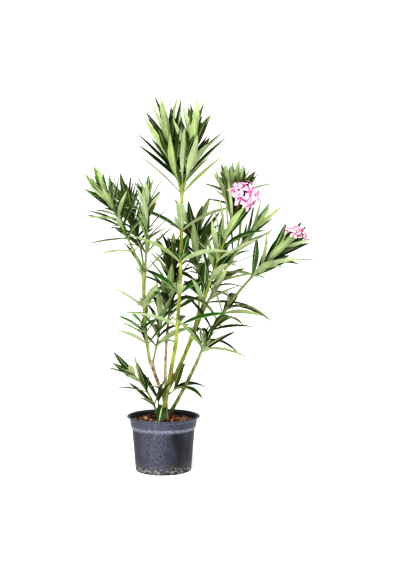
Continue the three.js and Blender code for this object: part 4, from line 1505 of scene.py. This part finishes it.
# %% Grow every mass
STEM_FINISH = {
    "leader_tier": "ripening yellow-green rind", "leader_crown": "young green rind",
    "left_fan": "young green rind", "left_twig": "olive green rind",
    "centre_spray": "olive green rind", "far_spray": "olive green rind",
    "bloom": "ripening yellow-green rind", "right_spray": "young green rind",
}
BARE_TIPS = ("left_fan", "leader_tier", "basal_sprig", "basal_leaf", "fork_sprig", "left_twig")
LEAF_EDGE, STEM_EDGE = 50, 60
SPROUT_TINT = 0.8  # how much brighter sprouts are than the youngest whorl
OLD_SPROUT_TINT = 1
TUFT_TINT = 0.5
TUFT_OPEN = 14  # the least that a tuft opens
OPEN_MASSES = ("leader_tier", "left_fan", "low_left", "basal_sprig", "basal_leaf", "fork_sprig")
SPROUTS = {  # distance up the stem, bearing and size of each side sprout
    "leader_tier": ((126, -150, 1.0), (212, 20, 0.9), (213, -100, 0.8), (297, 160, 1.0)),
    "left_fan": ((150, -60, 1.2), (152, 150, 0.9), (236, -130, 0.8)),
    "left_outer": ((101, -80, 0.9), (134, 160, 0.7)),
    "bloom": ((98, 10, 1.2), (160, 170, 1.1), (162, 30, 1.0), (219, 150, 0.9)),
    "right_spray": ((106, 170, 1.1), (158, 60, 0.9)),
    "right_back": ((112, -90, 1.0), (155, 80, 0.9)),
    "far_spray": ((92, -60, 1.1), (270, -60, 0.9)),
    "centre_spray": ((48, -90, 0.9), (80, 60, 0.8)),
}
OLD_SPROUTS = {  # the same for strong sprouts whose leaves are older and darker
    "far_spray": ((4, -75, 2.1), (22, -135, 1.7)),
    "bloom": ((336, 172, 2.0), (311, 150, 1.7), (340, 60, 1.8), (338, -8, 2.1)),
}


def bearer(mass, distance):
    """The stem or, past its tip, the first twig that carries a sprout, and how far along it."""
    if distance <= mass["length"]:
        return mass, distance
    return mass["twigs"][0], distance - mass["length"]


def grow_mass(name, mass):
    stems, leaves, corners = Heap(), Heap(), corners_of(name)
    finish = STEM_FINISH.get(name, "young green rind")
    stem(stems, mass, finish)
    found = 0
    for shoot in (mass, *mass.get("twigs", ())):
        if shoot is not mass:
            stem(stems, shoot, "red-brown flower stalk" if "flowers" in shoot else finish, sink=0)
        if "flowers" in shoot:
            set_truss(name, shoot, stems)
        if "leaves" in shoot:
            rule = shoot["leaves"]
            fine = leaves_of(shoot, corners)
            found += len(fine)
            for leaf in fine:
                leaves.add(*blade(leaf))
            if name not in OPEN_MASSES and "left" not in rule:
                fill_between(shoot, leaves)
            carries_truss = shoot is mass and name == "bloom"
            if name not in BARE_TIPS and "left" not in rule and not carries_truss:
                tuft(shoot, leaves, rule["size"][1], max(rule["open"][1], TUFT_OPEN),
                     rule["seed"], rule["tint"][1] + TUFT_TINT)
    rule = mass["leaves"]
    for table, tint in ((SPROUTS, rule["tint"][1] + SPROUT_TINT), (OLD_SPROUTS, OLD_SPROUT_TINT)):
        for i, (distance, turn, size) in enumerate(table.get(name, ())):
            sprout(*bearer(mass, distance), turn, rule["seed"] + i, stems, leaves, tint, size)
    hand_in(leaves.piece(f"{name}_leaves", LEAF_EDGE), "foliage", name)
    hand_in(stems.piece(f"{name}_stems", STEM_EDGE), "green_stem")
    print(f"  {found} leaves by the rule")


for name, mass in MASSES.items():
    grow_mass(name, mass)
bpy.data.objects.remove(flower)

# %% [markdown]
# ## Stubs
#
# Where twigs were pruned or died back, short brown stubs stay on the wood. They are small, but
# they tell that the plant has been kept.

# %% Pruned and dead stubs
STUBS = (  # parent, distance up it, lean, bearing, length, radius
    ("right_bough", 34, 16, -60, 20, 3.0),
    ("trunk", 74, 4, -120, 52, 1.2),
    ("trunk", 70, 22, 200, 30, 1.1),
    ("left_twig", 166, 12, 40, 9, 2.5),
    ("low_left", 18, 60, -170, 9, 2.4),
)
STUB_CURL = 6
STUB_FOOT = 1.3  # how much wider a stub is at its foot
STUB_RINGS = 7
STUB_EDGE = 40


def add_stubs():
    heap = Heap()
    for parent, distance, lean, toward, length, radius in STUBS:
        shoot = dict(length=length, lean=lean, toward=toward, curl=STUB_CURL)
        grow(shoot, point_on(limbs[parent], distance))
        points = [smooth_point(shoot, d) for d in np.linspace(-1, length, STUB_RINGS)]
        tube(heap, points, np.linspace(radius * STUB_FOOT, radius, STUB_RINGS), "thin tan bark")
    return heap.piece("stubs", STUB_EDGE)


hand_in(add_stubs(), "bark")

# %% [markdown]
# ## Floor, light and camera
#
# The plant stands on a plain white floor in soft light, as in a catalogue: one wide sun from above
# and a little to the left of the front, and a weak square light from the front right that opens its
# shadows. The room's walls are bright and its ceiling is dim, so leaves that face up stay deep
# in colour. The camera stands three metres off, a little above the plant's middle, and looks
# slightly down.

# %% Set the stage
FLOOR_RADIUS = 60
FLOOR_CORNERS = 96
FLOOR_DROP = 0.5  # keeps the floor just clear of the pot's underside
FLOOR_GLOW = 0.28  # a floor lit from below keeps its shadows faint
CAMERA_PLACE = (0.100, -3.000, 0.706)
CAMERA_TILT = 3.8
CAMERA_LENS, CAMERA_SENSOR = 70, 36
SUN_TURN = (48, 0, -14)  # degrees from straight down
SUN_STRENGTH = 3.2
SUN_WIDTH = 30  # degrees across, for soft shadows
HORIZON, ZENITH = 1.1, 0.3  # the brightness of the studio's walls and of its ceiling
CEILING_EDGE = (0.2, 0.45)  # how high, from 0 at eye level to 1 overhead, the one turns to the other
FILL_PLACE, FILL_AIM = (2.6, -1.8, 1.6), (0.05, 0, 0.5)
FILL_SIDE, FILL_POWER = 1.4, 20  # metres and watts

deselect()
bpy.ops.mesh.primitive_circle_add(
    vertices=FLOOR_CORNERS, radius=FLOOR_RADIUS, fill_type="NGON",
    location=(0, 0, -FLOOR_DROP * MM))
floor = bpy.context.object
floor.name = "floor"
floor_paint, _ = new_finish(  # matt white with a faint glow: it reads as lit paper without an edge
    "lit white floor", "#f4f4f4", 0.9, Emission_Color=(1, 1, 1, 1), Emission_Strength=FLOOR_GLOW)
floor.data.materials.append(floor_paint)

bpy.ops.object.light_add(type="AREA", location=FILL_PLACE)
fill = bpy.context.object
fill.data.size = FILL_SIDE
fill.data.energy = FILL_POWER
fill.rotation_euler = (Vector(FILL_AIM) - Vector(FILL_PLACE)).to_track_quat("-Z", "Y").to_euler()

bpy.ops.object.light_add(
    type="SUN", location=(-2, -2, 3), rotation=[math.radians(turn) for turn in SUN_TURN])
sun = bpy.context.object
sun.data.energy = SUN_STRENGTH
sun.data.angle = math.radians(SUN_WIDTH)

world = bpy.data.worlds.new("studio")
world.use_nodes = True
heights = add_node(world, "ShaderNodeTexCoord").outputs["Generated"]
height = add_node(world, "ShaderNodeSeparateXYZ", {"Vector": heights}).outputs["Z"]
glow = add_node(world, "ShaderNodeMapRange", {
    "Value": height, "From Min": CEILING_EDGE[0], "From Max": CEILING_EDGE[1],
    "To Min": HORIZON, "To Max": ZENITH})
sky = world.node_tree.nodes["Background"]
sky.inputs["Color"].default_value = (1, 1, 1, 1)
world.node_tree.links.new(glow.outputs["Result"], sky.inputs["Strength"])
bpy.context.scene.world = world
bpy.context.scene.view_settings.view_transform = "Standard"
bpy.context.scene.view_settings.look = "High Contrast"

bpy.ops.object.camera_add(
    location=CAMERA_PLACE, rotation=(math.radians(90 - CAMERA_TILT), 0, 0))
camera = bpy.context.object
camera.data.lens = CAMERA_LENS
camera.data.sensor_fit = "VERTICAL"
camera.data.sensor_height = CAMERA_SENSOR
bpy.context.scene.camera = camera
